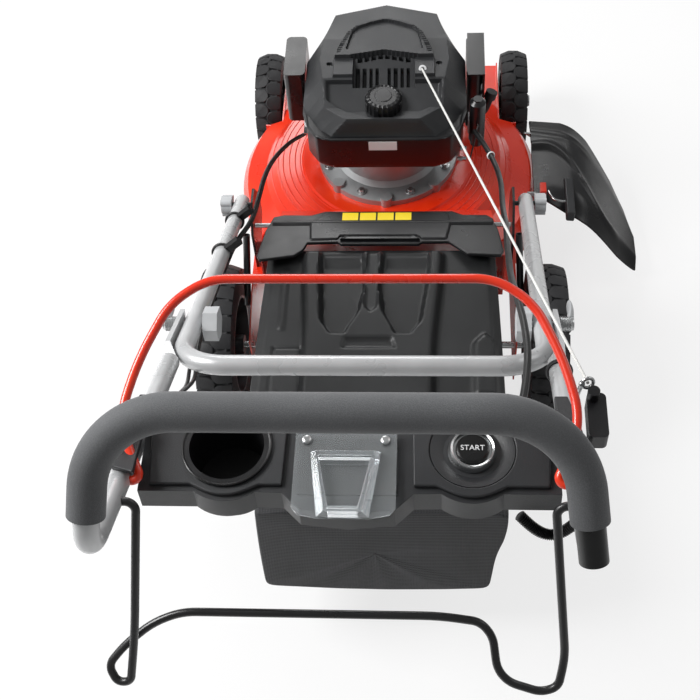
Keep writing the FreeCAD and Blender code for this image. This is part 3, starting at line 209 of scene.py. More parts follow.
add(tree, "OutputMaterial", {"Surface": body.outputs[0]})

# %% [markdown]
# The holder on the console is clear polycarbonate. Transmission with the plastic's own index
# of 1.58 bends what lies behind it; a faint haze of fine scratches keeps it from vanishing.

# %% Clear polycarbonate
CLEAR, tree = blank("clear_polycarbonate")
where = add(tree, "TexCoord").outputs["Object"]
haze = add(tree, "TexNoise", {"Vector": where, "Scale": 60.0, "Detail": 5.0})
gloss = add(tree, "MapRange", {"Value": haze.outputs["Fac"], "From Min": 0.3, "From Max": 0.8,
                               "To Min": 0.03, "To Max": 0.16})
tint = add(tree, "Mix", {"Factor": haze.outputs["Fac"], 6: linear("f4f7f8"), 7: linear("e6ebee")},
           data_type="RGBA")
body = add(tree, "BsdfPrincipled", {"Base Color": tint.outputs[2], "Roughness": gloss.outputs[0],
                                    "IOR": 1.58, "Transmission Weight": 0.93})
add(tree, "OutputMaterial", {"Surface": body.outputs[0]})

# %% [markdown]
# Each node of the construction model first takes the finish of its slot in the record. A few
# nodes share a slot but have their own look, and are named one by one.

# %% Dress the construction model
FINISH = {"tyre_rubber": RUBBER, "hub_plastic": SATIN, "zinc_steel": ZINC, "red_paint": RED,
          "cast_aluminium": CAST, "black_plastic": HOUSING, "dark_steel": BLACK_STEEL, "steel": STEEL,
          "rubber": VINYL, "bag_fabric": MESH, "grey_plastic": GREY, "grey_tube": TUBE, "foam": FOAM,
          "clear_plastic": CLEAR, "white_rope": ROPE}
SLOT = {entry["node"]: entry["material_slot"] for entry in frame["record"]["subparts"]}
OWN = {"rear_flap": SATIN, "side_chute": SATIN, "bag_cover": COVER, "start_button": GLOSS_BLACK,
       "fuel_tank": SATIN, "air_filter_box": GLOSS_BLACK, "starter_grip": SATIN, "battery": SATIN, "cup_holder": SATIN,
       "recoil_cover": SATIN, "handle_brackets": BLACK_STEEL, "handle_bolts": GREY}
for name, thing in NODES.items():
    thing.data.materials.clear()
    thing.data.materials.append(OWN.get(name, FINISH[SLOT[name]]))
BODY = {node: body for body, members in frame["record"]["behaviour"]["bodies"].items() for node in members}
print("finishes on", len(NODES), "nodes")

# %% [markdown]
# New pieces are meshes made from a list of points and faces. One function turns such lists
# into an object, merges double points, rounds its hard edges with a bevel, hangs it on the
# empty of the body it rides on, and hides the construction nodes it stands for.

# %% Mesh helpers
def piece(name, shape, body, finish, stands_for=(), edge=0.0, smooth=38, levels=0, at=None):
    spots, faces = shape
    move = at or Matrix()
    mesh = bpy.data.meshes.new(name)
    mesh.from_pydata([(move @ Vector(spot)) * MM for spot in spots], [], faces)
    work = bmesh.new()
    work.from_mesh(mesh)
    bmesh.ops.remove_doubles(work, verts=work.verts, dist=1e-6)
    bmesh.ops.recalc_face_normals(work, faces=work.faces)
    work.to_mesh(mesh)
    work.free()
    mesh.shade_smooth()
    mesh.set_sharp_from_angle(angle=math.radians(smooth))
    mesh.materials.append(finish)
    thing = bpy.data.objects.new(name, mesh)
    bpy.context.scene.collection.objects.link(thing)
    if levels:
        thing.modifiers.new("Subdivision", "SUBSURF").levels = levels
        thing.modifiers[-1].render_levels = levels
    if edge:
        bevel = thing.modifiers.new("Bevel", "BEVEL")
        bevel.width, bevel.segments, bevel.limit_method = edge * MM, 3, "ANGLE"
        bevel.angle_limit, bevel.harden_normals = math.radians(25), True
    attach(thing, body)
    if stands_for:
        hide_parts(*stands_for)
    return thing


def joined(*shapes):
    """Several point and face lists as one."""
    spots, faces = [], []
    for more_spots, more_faces in shapes:
        start = len(spots)
        spots += list(more_spots)
        faces += [[start + n for n in face] for face in more_faces]
    return spots, faces


def moved(shape, matrix):
    return [matrix @ Vector(spot) for spot in shape[0]], shape[1]


def skin(loops, closed=True, capped=True):
    """Faces between loops of equal length, each a closed ring of points."""
    count = len(loops[0])
    spots = [spot for loop in loops for spot in loop]
    faces = []
    for n in range(len(loops) - 1):
        for k in range(count if closed else count - 1):
            after = (k + 1) % count
            faces.append([n * count + k, n * count + after, (n + 1) * count + after, (n + 1) * count + k])
    if capped:
        faces += [list(range(count))[::-1], [len(spots) - count + k for k in range(count)]]
    return spots, faces


def prism(outline, low, high, top=None):
    return skin([[(x, y, low) for x, y in outline], [(x, y, high) for x, y in top or outline]])


def lathe(profile, count=48):
    """A closed profile of (radius, height) points turned about the Z axis."""
    loops = [[(r * math.cos(a), r * math.sin(a), z) for r, z in profile]
             for a in (n * math.tau / count for n in range(count + 1))]
    return skin(loops, capped=False)


def mirrored(half):
    return half + [(-x, y) for x, y in reversed(half)]


def facing(axis, spot):
    """A matrix that lays local +Z along the axis and moves the origin to the spot."""
    return Matrix.Translation(spot) @ Vector(axis).to_track_quat("Z", "Y").to_matrix().to_4x4()


def wire(name, points, radius, body, finish, stands_for=()):
    """A round rod or cable along one smooth curve."""
    data = bpy.data.curves.new(name, "CURVE")
    data.dimensions, data.bevel_depth, data.bevel_resolution, data.use_fill_caps = "3D", radius * MM, 4, True
    data.resolution_u = 8
    spline = data.splines.new("NURBS")
    spline.points.add(len(points) - 1)
    for control, spot in zip(spline.points, points):
        control.co = (*(Vector(spot) * MM), 1)
    spline.order_u, spline.use_endpoint_u = 3, True
    data.materials.append(finish)
    thing = bpy.data.objects.new(name, data)
    bpy.context.scene.collection.objects.link(thing)
    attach(thing, body)
    if stands_for:
        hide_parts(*stands_for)
    return thing


ALONG_X, ALONG_Y, ALONG_Z = Vector((1, 0, 0)), Vector((0, 1, 0)), Vector((0, 0, 1))
print("mesh helpers ready")

# %% [markdown]
# A mower tyre is moulded with a row of D-shaped lugs from each shoulder, set half a pitch
# apart and outlined by shallow grooves. Each lug is an outline bent round the tread, so the
# tread is real relief, and the carcass below it is one turned profile.

# %% Tyres with lugs
def tyre(radius, width, inner):
    half = width / 2
    floor = radius - 4.5
    profile = [(inner, -half), (floor - 14, -half), (floor - 5, -half + 1), (floor, -half + 6),
               (floor, half - 6), (floor - 5, half - 1), (floor - 14, half), (inner, half)]
    parts = [moved(lathe(profile, 64), Matrix.Rotation(math.pi / 2, 4, "Y"))]
    count = round(math.tau * radius / 30)
    arc = math.tau / count * 0.86
    outline = [(0.0, half + 0.5)] + [(t * math.pi / 10, None) for t in range(11)] + [(1.0, half + 0.5)]
    for side in (-1, 1):
        for n in range(count):
            start = (n + 0.5 * (side > 0)) * math.tau / count
            ring = []
            for place, across in outline:
                if across is None:
                    turn = arc * (0.5 - 0.5 * math.cos(place))
                    across = half * 0.36 - (half * 0.36 + 2.5) * math.sin(place)
                else:
                    turn = arc * place
                ring.append((start + turn, side * across))
            loops = []
            for high, shrink in ((floor - 3, 1.0), (radius - 0.8, 1.0), (radius, 0.88)):
                middle = start + arc / 2
                loops.append([(x * shrink + (1 - shrink) * side * half * 0.45,
                               (high - max(0, abs(x) - half + 6) * 0.9) * math.cos(middle + (a - middle) * shrink),
                               (high - max(0, abs(x) - half + 6) * 0.9) * math.sin(middle + (a - middle) * shrink))
                              for a, x in ring])
            parts.append(skin(loops))
    return joined(*parts)


for node in [name for name in NODES if name.endswith("_tyre")]:
    low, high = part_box(node)
    middle = (low + high) / 2 / MM
    radius, width = (high.z - low.z) / 2 / MM, (high.x - low.x) / MM
    piece(node + "_tread", tyre(radius, width, radius * 0.62), BODY[node], RUBBER, [node],
          at=Matrix.Translation(middle))
    print(node, "radius", round(radius), "mm")

# %% [markdown]
# The bag's hard cover carries the two deep finger wells and a broad raised block. It is one
# moulded skin, so it is drawn as a height map on a fine grid: each feature is a soft-edged
# step, which gives the drafted walls and radii that a mould leaves.

# %% Height map helper
def step(value, start, end):
    """0 before start, 1 after end, with a smooth change between."""
    share = min(1.0, max(0.0, (value - start) / (end - start)))
    return share * share * (3 - 2 * share)


def inside(value, low, high, soft):
    return step(value, low - soft / 2, low + soft / 2) * (1 - step(value, high - soft / 2, high + soft / 2))


def relief(half_at, height_at, front, back, across, along, skirt):
    """A grid between front and back, its edges folded down by the skirt's (inset, drop) steps."""
    rows = []
    for n in range(along + 1):
        y = front + (back - front) * n / along
        rows.append([(half_at(y) * (2 * k / across - 1), y) for k in range(across + 1)])
    spots = [(x, y, height_at(x, y)) for row in rows for x, y in row]
    wide = across + 1
    faces = [[n * wide + k, n * wide + k + 1, (n + 1) * wide + k + 1, (n + 1) * wide + k]
             for n in range(along) for k in range(across)]
    rim = ([k for k in range(wide)] + [n * wide + across for n in range(1, along + 1)]
           + [along * wide + k for k in range(across - 1, -1, -1)] + [n * wide for n in range(along - 1, 0, -1)])
    middle = Vector((0, (front + back) / 2))
    loop = rim
    for inset, drop in skirt:
        start = len(spots)
        for n in rim:
            x, y, z = spots[n]
            out = Vector((x, y)) - middle
            grow = 1 + inset / out.length
            spots.append((out.x * grow, middle.y + out.y * grow, z - drop))
        fresh = list(range(start, start + len(rim)))
        faces += [[loop[k], loop[(k + 1) % len(rim)], fresh[(k + 1) % len(rim)], fresh[k]]
                  for k in range(len(rim))]
        loop = fresh
    return spots, faces


# %% Bag cover
def cover_half(y):
    share = (-332 - y) / 468
    return 186 + 12 * min(share, 0.8) - 14 * step(share, 0.84, 1.02)


def cover_height(x, y):
    across = x + 12 + 2 * step(-y, 360, 560)
    side = abs(across)
    wide = 116 - 12 * step(-y, 346, 560)
    block = (1 - step(side, wide - 10, wide + 4)) * (1 - step(-y, 640, 690)) * step(-y, 338, 350)
    z = 320 + 17 * block
    round_end = 16 * step(-y, 470, 512) ** 2
    for inner, outer in ((-16, -86 + 8 * step(-y, 360, 500)), (16, 92 - 12 * step(-y, 360, 500))):
        sign = 1 if outer > 0 else -1
        near = 16 + 6 * step(-y, 410, 455) - 4 * step(-y, 350, 400) + 22 * step(-y, 455, 514)
        far = abs(outer) - round_end
        deep = inside(across * sign, near, far, 8) * inside(-y, 344, 510, 9)
        z -= (21 - 6 * (1 - step(-y, 344, 372))) * deep
    z -= 6 * (1 - step(side, 7, 12)) * inside(-y, 340, 470 - side, 10)
    z -= 5 * (1 - step(side, 34 + 0.25 * (-y - 522), 39 + 0.25 * (-y - 522))) * inside(-y, 523, 541, 5)
    z += 2.5 * inside(x, -160, -150, 4) * inside(-y, 375, 496, 8)
    z -= 2.0 * (inside(x, -167, -164, 2) + inside(x, -122, -119, 2)) * inside(-y, 530, 640, 3)
    z -= 2.0 * inside(x, -167, -119, 2) * inside(-y, 529, 533, 2)
    z += 7 * inside(x, 150, 184, 12) * inside(-y, 505 + abs(x - 167), 620, 12)
    z -= 9 * step(abs(x), cover_half(y) - 13, cover_half(y) + 6)
    return z


piece("bag_cover_shell", relief(cover_half, cover_height, -336, -797, 132, 156,
      [(2.0, 0.8), (3.2, 2.6), (3.8, 5), (3.6, 9)]), "grass_bag", COVER, ["bag_cover"], smooth=60)
print("cover drawn on a", 132 * 156, "face grid")

# %% [markdown]
# The bag hangs from the cover's rim and is open weave, so it sags between its stiffened
# corners and bellies out at the sides. It is lofted from rings of points, each ring rounder
# and lower in its middle than the last.

# %% Grass bag
def leaning(share, z):
    """The bag's rings lean back with their depth, so that its last wall slopes."""
    return -338 - share * (474 + 34 * (308 - z) / 190)


def bag_ring(share, keep=1.0, count=56):
    """One cross-section, from the top left corner round below to the top right."""
    low = 196 - 74 * share + 3 * math.sin(share * 19)
    belly = 3 + 1.4 * math.sin(share * 17)
    ring = []
    for n in range(count + 1):
        place = n / count * 3
        left, right = -181 + 8 * share, 182 + 14 * share * (1 - step(place, 1.4, 2.2)) + 14 * share * step(place, 2.3, 2.9)
        if place < 1:
            x, z = left - belly * math.sin(place * math.pi), 308 + (low - 308) * place
        elif place < 2:
            x, z = left + (182 - 8 * share - left) * (place - 1), low - 7 * math.sin((place - 1) * math.pi)
        else:
            foot = 182 - 8 * share
            x = foot + (right - foot) * min(1, (place - 2) * 1.6) + belly * math.sin((place - 2) * math.pi)
            z = low + (308 - low) * (place - 2)
        z = 212 + (z - 212) * keep
        fold = 2.2 * math.sin(x / 21 + 3 * math.sin(x / 90)) + 1.2 * math.sin(x / 7.5)
        ring.append((x * keep, leaning(share, z) - (2.5 + fold * keep ** 0.5) * (1 - keep) ** 0.5, z))
    return ring


rings = [bag_ring(n / 32) for n in range(33)]
closing = [bag_ring(1.0, keep) for keep in (0.985, 0.95, 0.88, 0.78, 0.65, 0.5, 0.35, 0.2, 0.08, 0.01)]
bag = piece("bag_mesh_cloth", skin(rings + closing, closed=True, capped=False), "grass_bag", MESH,
            ["bag_cloth"], smooth=80, levels=1)

# %% [markdown]
# The fan housing is a faceted plastic moulding: a crown with sloping flanks, a recessed
# panel inside a knurled rim, a row of vents, two groups of slots, and a dished rear deck for
# the fuel cap. It is again one skin, and each facet is a straight ramp between two outlines.

# %% Fan housing
def along(value, table):
    """Straight-line interpolation in a table of (position, result) pairs."""
    for (low, first), (high, last) in zip(table, table[1:]):
        if value <= high:
            return first + (last - first) * max(0.0, (value - low) / (high - low))
    return table[-1][1]


HOOD_EDGE = [(-124, 106), (-104, 130), (-62, 143), (60, 142), (100, 124), (128, 106), (158, 50), (168, 12)]
HOOD_CROWN = [(-124, 52), (-113, 62), (-83, 103), (-36, 106), (8, 113), (60, 109), (90, 101), (136, 91), (168, 60)]
RIM_OUTER = [(3, 87), (30, 81), (55, 72), (67, 67), (84, 52), (96, 34), (103, 8), (104, 0)]
RIM_INNER = [(22, 67), (50, 62), (72, 56), (82, 47), (92, 26), (98, 6), (99, 0)]


def hood_height(x, y):
    side = abs(x)
    crown, edge = along(y, HOOD_CROWN), along(y, HOOD_EDGE)
    top = along(y, [(-85, 402), (-36, 425), (60, 428), (166, 415)])
    fall = max(0.0, (side - crown) / max(edge - crown, 1), (y - 164 + 0.33 * side) / 9, (-y - 113) / 11)
    z = top - 54 * min(1.0, fall)
    rim = side < along(y, RIM_OUTER) and 3 < y < 104
    panel = side < along(y, RIM_INNER) and y > 22 + 12 * (1 - side / 67) and y < 99
    if panel:
        z = 433
    elif rim and y > 8 + 12 * (1 - side / 60):
        z = 438 - (2.2 if side > along(y, RIM_OUTER) - 9 and 16 < y < 82 and math.sin(y * 1.25) > 0.1 else 0)
    if side < 53 and y < 8 + 9 * (1 - side / 53):
        z = along(y, [(-46, 401), (8, 428), (17, 430)]) if y > -46 else z
        if y > 0 + 9 * (1 - side / 53) and side < 50 and math.cos(x * math.tau / 12.2 + math.pi) > -0.35:
            z -= 9
    elif 53 <= side < 88 and -34 < y < 8:
        z = 431
    if any(abs(x - middle) < 2.6 for middle in (-46, -34, -22.5, -12, 9, 20.5, 31.5, 42)) and -40 < y < -9:
        z -= 11
    if side < crown - 4 and -109 + 0.004 * side ** 2 < y < -40 and not (side < 53 and y > -46):
        z -= 9 * inside(-y, 38, 111 - 0.004 * side ** 2, 8) * (1 - step(side, crown - 12, crown - 3))
    if math.hypot(side - 95, y + 2) < 4.5:
        z -= 8
    return z


hood = relief(lambda y: along(y, HOOD_EDGE), hood_height, 168, -124, 190, 196, [(0.6, 3), (0.6, 10)])
floor_z = 366
hood = ([(x, y, max(z, floor_z)) for x, y, z in hood[0]], hood[1])
piece("fan_housing_shell", hood, "chassis", HOUSING, ["fan_housing", "recoil_cover"], smooth=28)

# %% [markdown]
# Below the housing sits the blow-moulded fuel tank, deep black with large corner radii, and
# a blank white patch at its back. The cap is a fluted disc with a raised ring on top, so one
# hand can turn it with wet gloves.

# %% Fuel tank and cap
tank_plan = mirrored([(92, -127), (118, -119), (134, -96), (139, -60), (138, -30), (120, 20)])
tank_foot = [(x * 0.9, y * 0.96) for x, y in tank_plan]
piece("fuel_tank_body", joined(skin([[(x, y, z) for x, y in plan] for plan, z in (
      (tank_foot, 292), ([(x * 0.97, y * 0.99) for x, y in tank_plan], 299), (tank_plan, 310), (tank_plan, 368))])),
      "chassis", SATIN, ["fuel_tank"], edge=5)
piece("blank_patch", moved(prism([(-23, -10), (26, -10), (26, 10), (-23, 10)], 0, 0.6),
      facing(-ALONG_Y, (0, -127.1, 352)) @ Matrix.Rotation(math.pi, 4, "Z")), "chassis", WHITE)
grip_ring = [(30 + 1.6 * math.cos(n * math.tau / 8) ** 8, n * math.tau / 96) for n in range(96)]
cap_loops = [[(r * k * math.cos(a), r * k * math.sin(a), z) for r, a in grip_ring]
             for k, z in ((0.92, 392), (1.0, 394), (1.0, 412), (0.94, 417), (0.82, 419), (0.76, 417.5),
                          (0.5, 417.5), (0.46, 418.6), (0.05, 418.8))]
notches = [moved(prism([(-3, -4), (3, -4), (3, 4), (-3, 4)], 396, 411), Matrix.Rotation(n * math.pi / 4 + 0.4, 4, "Z")
           @ Matrix.Translation((29.4, 0, 0))) for n in range(8)]
piece("fuel_cap_disc", joined(skin(cap_loops), *notches), "fuel_cap", SATIN, ["fuel_cap"], smooth=35,
      at=Matrix.Translation((0, -73, 0)))

# %% [markdown]
# Many small bolts, screws and washers hold the mower together. One turned profile with a
# hexagon or a round head serves for all of them, laid along whatever axis it is driven in.

# %% Bolts and screws
def hexagon(across, low, high):
    ring = [(across / 2 * math.cos(n * math.pi / 3), across / 2 * math.sin(n * math.pi / 3)) for n in range(6)]
    return prism(ring, low, high)


def screw(radius, high):
    return lathe([(0, 0), (radius, 0), (radius, high * 0.6), (radius * 0.7, high), (radius * 0.35, high),
                  (radius * 0.3, high * 0.4), (0, high * 0.4)], 20)


bolts = [moved(joined(lathe([(3, 0), (9, 0), (9, 1.5), (3, 1.5)], 20), hexagon(12, 1.5, 7)),
               Matrix.Translation((116 * math.cos(a), 116 * math.sin(a), 214)))
         for a in (n * math.pi / 4 + 0.39 for n in range(8))]
for x, y in ((-48, -62), (43, -66), (-70, -38), (66, -40)):
    bolts.append(moved(joined(lathe([(4, 0), (8, 0), (8, 2), (4, 2)], 20), hexagon(11, 2, 9)),
                       Matrix.Translation((x, y, 283))))
piece("crankcase_bolts", joined(*bolts), "chassis", ZINC, edge=0.6)
piece("hood_screws", joined(*[moved(screw(4.6, 4), Matrix.Translation((x, y, 419)))
      for x, y in ((-95, -2), (95, -2))]), "chassis", GLOSS_BLACK)
piece("tank_studs", joined(*[moved(joined(lathe([(0, 0), (4, 0), (4, 16), (0, 17)], 20), hexagon(10, 3, 9)),
      facing(ALONG_X, (128, y, z))) for y, z in ((-84, 300), (-96, 286))]), "chassis", ZINC, edge=0.4)
piece("rope_eyelet", lathe([(3, 0), (6.5, 0), (7, 1.5), (6, 3), (3.4, 3)], 32), "chassis", WHITE,
      at=facing((0.1, -0.6, 0.8), (67, -22, 430)))
print("bolts:", len(bolts))

# %% [markdown]
# The rear flap is a stiff plastic door over the bag's mouth. Its outline has two lobes that
# reach back over the cover's shoulders and a notch for the raised block. The middle is a
# step higher, with a lipped finger slot, and four plain yellow patches along its front.

# %% Rear flap
HINGE = Matrix.Translation((0, -272, 312)) @ Matrix.Rotation(math.radians(-15), 4, "X")
flap_plan = [(-186, 20), (-196, -20), (-203, -92), (-198, -104), (-142, -92), (-128, -76), (-122, -56), (-72, -54),
             (-66, -60), (62, -60), (68, -54), (112, -54), (126, -70), (142, -88), (196, -92), (201, -80),
             (194, -20), (186, 14), (176, 24), (136, 25), (118, 36), (-98, 36), (-122, 25), (-168, 26)]
raised = [(-124, -2), (-120, -52), (-74, -50), (-70, -40), (62, -40), (68, -50), (110, -50), (118, -2), (112, 31), (-96, 31)]
piece("rear_flap_door", joined(prism(flap_plan, -2, 4), prism(raised, 3, 7, [(x * 0.97, y * 0.94) for x, y in raised]),
      moved(lathe([(4.2, -186), (8, -186), (8, 186), (4.2, 186)], 32), Matrix.Rotation(math.pi / 2, 4, "Y"))),
      "rear_flap", SATIN, ["rear_flap"], edge=2.2, at=HINGE)
slot_ring = [(-66, -52), (-60, -44), (54, -44), (62, -52)]
piece("flap_slot_lip", joined(skin([[(x * k, -50 + (y + 50) * k, z) for x, y in slot_ring] for k, z in
      ((1.04, 4), (1.04, 8.5), (0.97, 9.5), (0.93, 8))])), "rear_flap", GLOSS_BLACK, edge=1, at=HINGE)
piece("plain_patches", joined(*[prism([(x, y0), (x + 27, y0), (x + 27, y0 + 22), (x, y0 + 22)], 7, 7.5)
      for x, y0 in ((-68, 4), (-38, 4), (-8, 4), (22, 4))]), "rear_flap", YELLOW, at=HINGE)

# %% [markdown]
# The console is a shallow moulded tray with two raised plates, each with a round bulge at its
# back: the left one holds the cup well and the right one the start button. Wells are cut with
# exact Booleans on temporary objects, so what is kept is a plain mesh.

# %% Console
def carved(shape, *cutters):
    """The shape with the cutters taken away, as points and faces again."""
    def stand_in(label, data):
        mesh = bpy.data.meshes.new(label)
        mesh.from_pydata([tuple(spot) for spot in data[0]], [], data[1])
        work = bmesh.new()
        work.from_mesh(mesh)
        bmesh.ops.remove_doubles(work, verts=work.verts, dist=1e-4)
        bmesh.ops.recalc_face_normals(work, faces=work.faces)
        work.to_mesh(mesh)
        work.free()
        thing = bpy.data.objects.new(label, mesh)
        bpy.context.scene.collection.objects.link(thing)
        return thing
    body = stand_in("carving", shape)
    tools = [stand_in("cutter", cutter) for cutter in cutters]
    for tool in tools:
        cut = body.modifiers.new("Cut", "BOOLEAN")
        cut.object, cut.solver, cut.operation = tool, "EXACT", "DIFFERENCE"
    done = bpy.data.meshes.new_from_object(body.evaluated_get(bpy.context.evaluated_depsgraph_get()))
    result = [tuple(v.co) for v in done.vertices], [list(face.vertices) for face in done.polygons]
    for thing in (body, *tools):
        bpy.data.objects.remove(thing)
    return result


def disc(x, y, radius, low, high, count=72):
    return prism([(x + radius * math.cos(n * math.tau / count), y + radius * math.sin(n * math.tau / count))
                  for n in range(count)], low, high)


BULGE = [(-128 + 52 * math.cos(a), -1001 + 52 * math.sin(a)) for a in (math.radians(232 + 5.4 * n) for n in range(15))]
half_plan = [(-60, -941), (-219, -941), (-219, -1042), *BULGE, (-68, -1043), (-49, -1062)]
tray_plan = half_plan + [(0, -1067)] + [(-x, y) for x, y in reversed(half_plan)]
tray = carved(prism(tray_plan, 758, 792, [(x * 0.995, y) for x, y in tray_plan]),
              disc(-128, -993, 41.7, 750, 800), disc(128, -993, 24.3, 750, 800),
              prism([(-53.5, -1047.5), (53.5, -1047.5), (53.5, -978.5), (-53.5, -978.5)], 755, 789))
piece("console_tray", tray, "upper_handle", HOUSING, ["console"], edge=2.5)
plate = [(-66, -945), (-214, -945), (-207, -1036), (-164, -1036), *[(x * 0.98 - 2.6, y + 5) for x, y in BULGE[2:-2]],
         (-92, -1036), (-68, -1036)]
for name, sign in (("cup", 1), ("start", -1)):
    outline = [(x * sign, y) for x, y in plate]
    holes = ([disc(-128, -993, 41.7, 780, 810)] if sign > 0 else [disc(128, -993, 44.6, 780, 810)])
    piece(f"console_{name}_plate", carved(prism(outline, 790, 797.6, [(x * 0.992, y) for x, y in outline]), *holes),
          "upper_handle", HOUSING, edge=1.8)
piece("start_dish", lathe([(24.2, 789.5), (27, 790), (31, 792.5), (39, 795.8), (44, 796.6), (44, 790), (30, 786),
                           (24.2, 785)], 96), "upper_handle", HOUSING,
      at=Matrix.Translation((128, -993, 0)))
for name, sign in (("left", -1), ("right", 1)):
    side = [(x * sign, y) for x, y in ((215, -929), (229, -929), (238, -970), (246, -1010), (245, -1032), (215, -1042))]
    piece(f"console_fairing_{name}", skin([[(x, y, z - 0.27 * (y + 929)) for x, y in side] for z in (793, 799, 801)]),
          "upper_handle", HOUSING, edge=1.5)
piece("start_dial_ring", lathe([(19, 793), (20.5, 800.5), (22.5, 801.5), (24, 799.5), (25.5, 793)], 96), "upper_handle",
      ZINC, at=Matrix.Translation((128, -993, 0)))
piece("cup_groove_ring", lathe([(46.4, 798.2), (47.2, 801), (46.2, 801.6), (44.6, 801.2), (44.4, 798.2)], 96),
      "upper_handle", GLOSS_BLACK, at=Matrix.Translation((-128, -993, 0)))
letters = bpy.data.curves.new("start_letters", "FONT")
letters.body, letters.align_x, letters.align_y, letters.size = "START", "CENTER", "CENTER", 8.6
letters.extrude = 0.25
spelled = bpy.data.objects.new("start_letters", letters)
bpy.context.scene.collection.objects.link(spelled)
flat = bpy.data.meshes.new_from_object(spelled.evaluated_get(bpy.context.evaluated_depsgraph_get()))
piece("start_lettering", ([tuple(v.co) for v in flat.vertices], [list(face.vertices) for face in flat.polygons]),
      "start_button", WHITE, at=Matrix.Translation((128, -993, 800.8)))
bpy.data.objects.remove(spelled)
print("console plates with", len(BULGE), "points round each bulge")

# %% [markdown]
# The card holder over the middle of the console is a clear folded plate: a flat back, a
# raised tray with sloping cheeks, and two screw bosses.

# %% Clear card holder
sheet_plan = [(-56, -974), (-56, -1064), (-50, -1072), (-30, -1076), (24, -1076), (44, -1072), (50, -1064), (50, -974)]
tray_low = [(-40, -1000), (-30, -1076), (24, -1076), (34, -1000)]
tray_top = [(-34, -1004), (-22, -1074), (16, -1074), (28, -1004)]
tray_hole = [(-30, -1010), (-18, -1068), (12, -1068), (24, -1010)]
clear_tray = carved(prism(tray_low, 802, 813, tray_top), prism(tray_hole, 800, 820))
piece("card_holder_clear", joined(prism(sheet_plan, 799, 801.2), clear_tray), "upper_handle", CLEAR,
      ["card_holder"], edge=0.8)
piece("holder_screws", joined(*[moved(joined(lathe([(0, 0), (5, 0), (5, 3), (3, 4), (0, 4)], 24)),
      Matrix.Translation((x, -986, 801.3))) for x in (-44, 38)]), "upper_handle", ZINC, edge=0.5)

# %% [markdown]
# Cam levers clamp the fold: a ribbed zinc barrel with a curved lever on its outer side. The
# lever is lofted from ovals so that it swells where the thumb presses.

# %% Cam levers
SLOPE = math.atan2(674 - 327, 805 - 238)
for name, sign in (("left", -1), ("right", 1)):
    barrel = lathe([(5, 0), (9, 0)] + [(10 - 1.2 * (n % 2), 1 + n * 1.1) for n in range(14)] + [(8, 18), (5, 18)], 36)
    barrel = moved(barrel, facing(ALONG_X * sign, (sign * 249.5, -693, 606)))
    heading = Vector((0, math.cos(SLOPE), -math.sin(SLOPE)))
    lift = Vector((0, math.sin(SLOPE), math.cos(SLOPE)))
    loops = []
    for n in range(9):
        share = n / 8
        middle = Vector((sign * (262 + 5 * math.sin(share * 2.2)), -693, 606)) + heading * (2 + 56 * share) + lift * 3 * share
        wide, thick = 9.5 + 2.5 * math.sin(share * math.pi), 5.2 - 1.8 * share
        loops.append([middle + lift * wide * math.cos(a) + Vector((thick * math.sin(a), 0, 0))
                      for a in (k * math.tau / 20 for k in range(20))])
    piece(f"cam_lever_{name}_barrel", barrel, f"cam_lever_{name}", ZINC)
    piece(f"cam_lever_{name}_arm", skin(loops), f"cam_lever_{name}", GREY, [f"cam_lever_{name}"],
          levels=1)

# %% [markdown]
# The side chute is a blow-moulded scoop that throws clippings to the right. Its skin runs from
# the hinge over a rounded shoulder down to a lip near the ground, with a curved rib across it
# and a tall pull rib along the back.

# %% Side chute
def chute_spot(s, t):
    """A point of the scoop: s from hinge to lip, t from the back edge to the front edge."""
    x = 274 + 196 * s
    front = along(s, [(0, 138), (0.3, 126), (0.55, 96), (0.8, 40), (0.93, -10), (1, -62)])
    back = along(s, [(0, -70), (0.2, -92), (0.45, -118), (0.8, -142), (1, -146)])
    y = back + (front - back) * t
    z = 158 + 8 * math.sin(s * math.pi * 0.8) - 120 * step(s, 0.35, 1.12) - 14 * step(t, 0.75, 1.05)
    z -= 22 * (1 - step(t, -0.05, 0.22)) * step(s, 0.05, 0.4)
    rib = 0.62 + 0.12 * math.sin(s * 7) - 0.45 * s
    z += 6 * math.exp(-((t - rib) * 26) ** 2) * (1 - step(s, 0.75, 0.85))
    z += 1.6 * sum(math.exp(-((t - mark + 0.15 * s * s) * 60) ** 2) for mark in (0.78, 0.86)) * (1 - step(s, 0.5, 0.6))
    return Vector((x, y, max(z, 32)))


outer = [[chute_spot(n / 60, k / 48) for k in range(49)] for n in range(61)]
inner = [[spot - Vector((1.2, 0, 3.2)) for spot in row] for row in outer]
scoop = skin([row + under[::-1] for row, under in zip(outer, inner)])
pull = [moved(prism([(-70, 0), (-62, 16), (24, 16), (34, 0)], -8, 8), Matrix.Translation((336, -62, 156))
        @ Matrix.Rotation(math.radians(8), 4, "Y") @ Matrix(((0, 0, 1, 0), (1, 0, 0, 0), (0, 1, 0, 0), (0, 0, 0, 1))))]
piece("side_chute_scoop", scoop, "side_chute", SATIN, ["side_chute"], smooth=50)
piece("side_chute_pull", pull[0], "side_chute", HOUSING, edge=3)
print("chute lip at", round(min(spot.z for spot in outer[-1])), "mm")

# %% [markdown]
# The deck is deep drawn, and the dies leave fine steps round the engine's seat. They are
# thin raised rings in the same red. The chute turns on a bright rod that ends in a red hook.

# %% Drawn rings and the chute's rod
piece("deck_drawn_rings", joined(*[lathe([(radius - 1.6, z - 1.2), (radius, z + 0.9), (radius + 1.6, z - 1.2)], 96)
      for radius, z in ((166, 196), (176, 195.3), (187, 194.4), (199, 193.4), (208, 192.4), (222, 180.2))]),
      "chassis", RED, smooth=80)
wire("chute_spring_rod", [(300, -66, 166), (304, -84, 168), (318, -92, 166), (344, -90, 164)], 2.4, "side_chute", ZINC)
piece("chute_hook", prism([(284, -72), (296, -72), (296, -48), (284, -48)], 158, 172), "chassis", RED, edge=2)

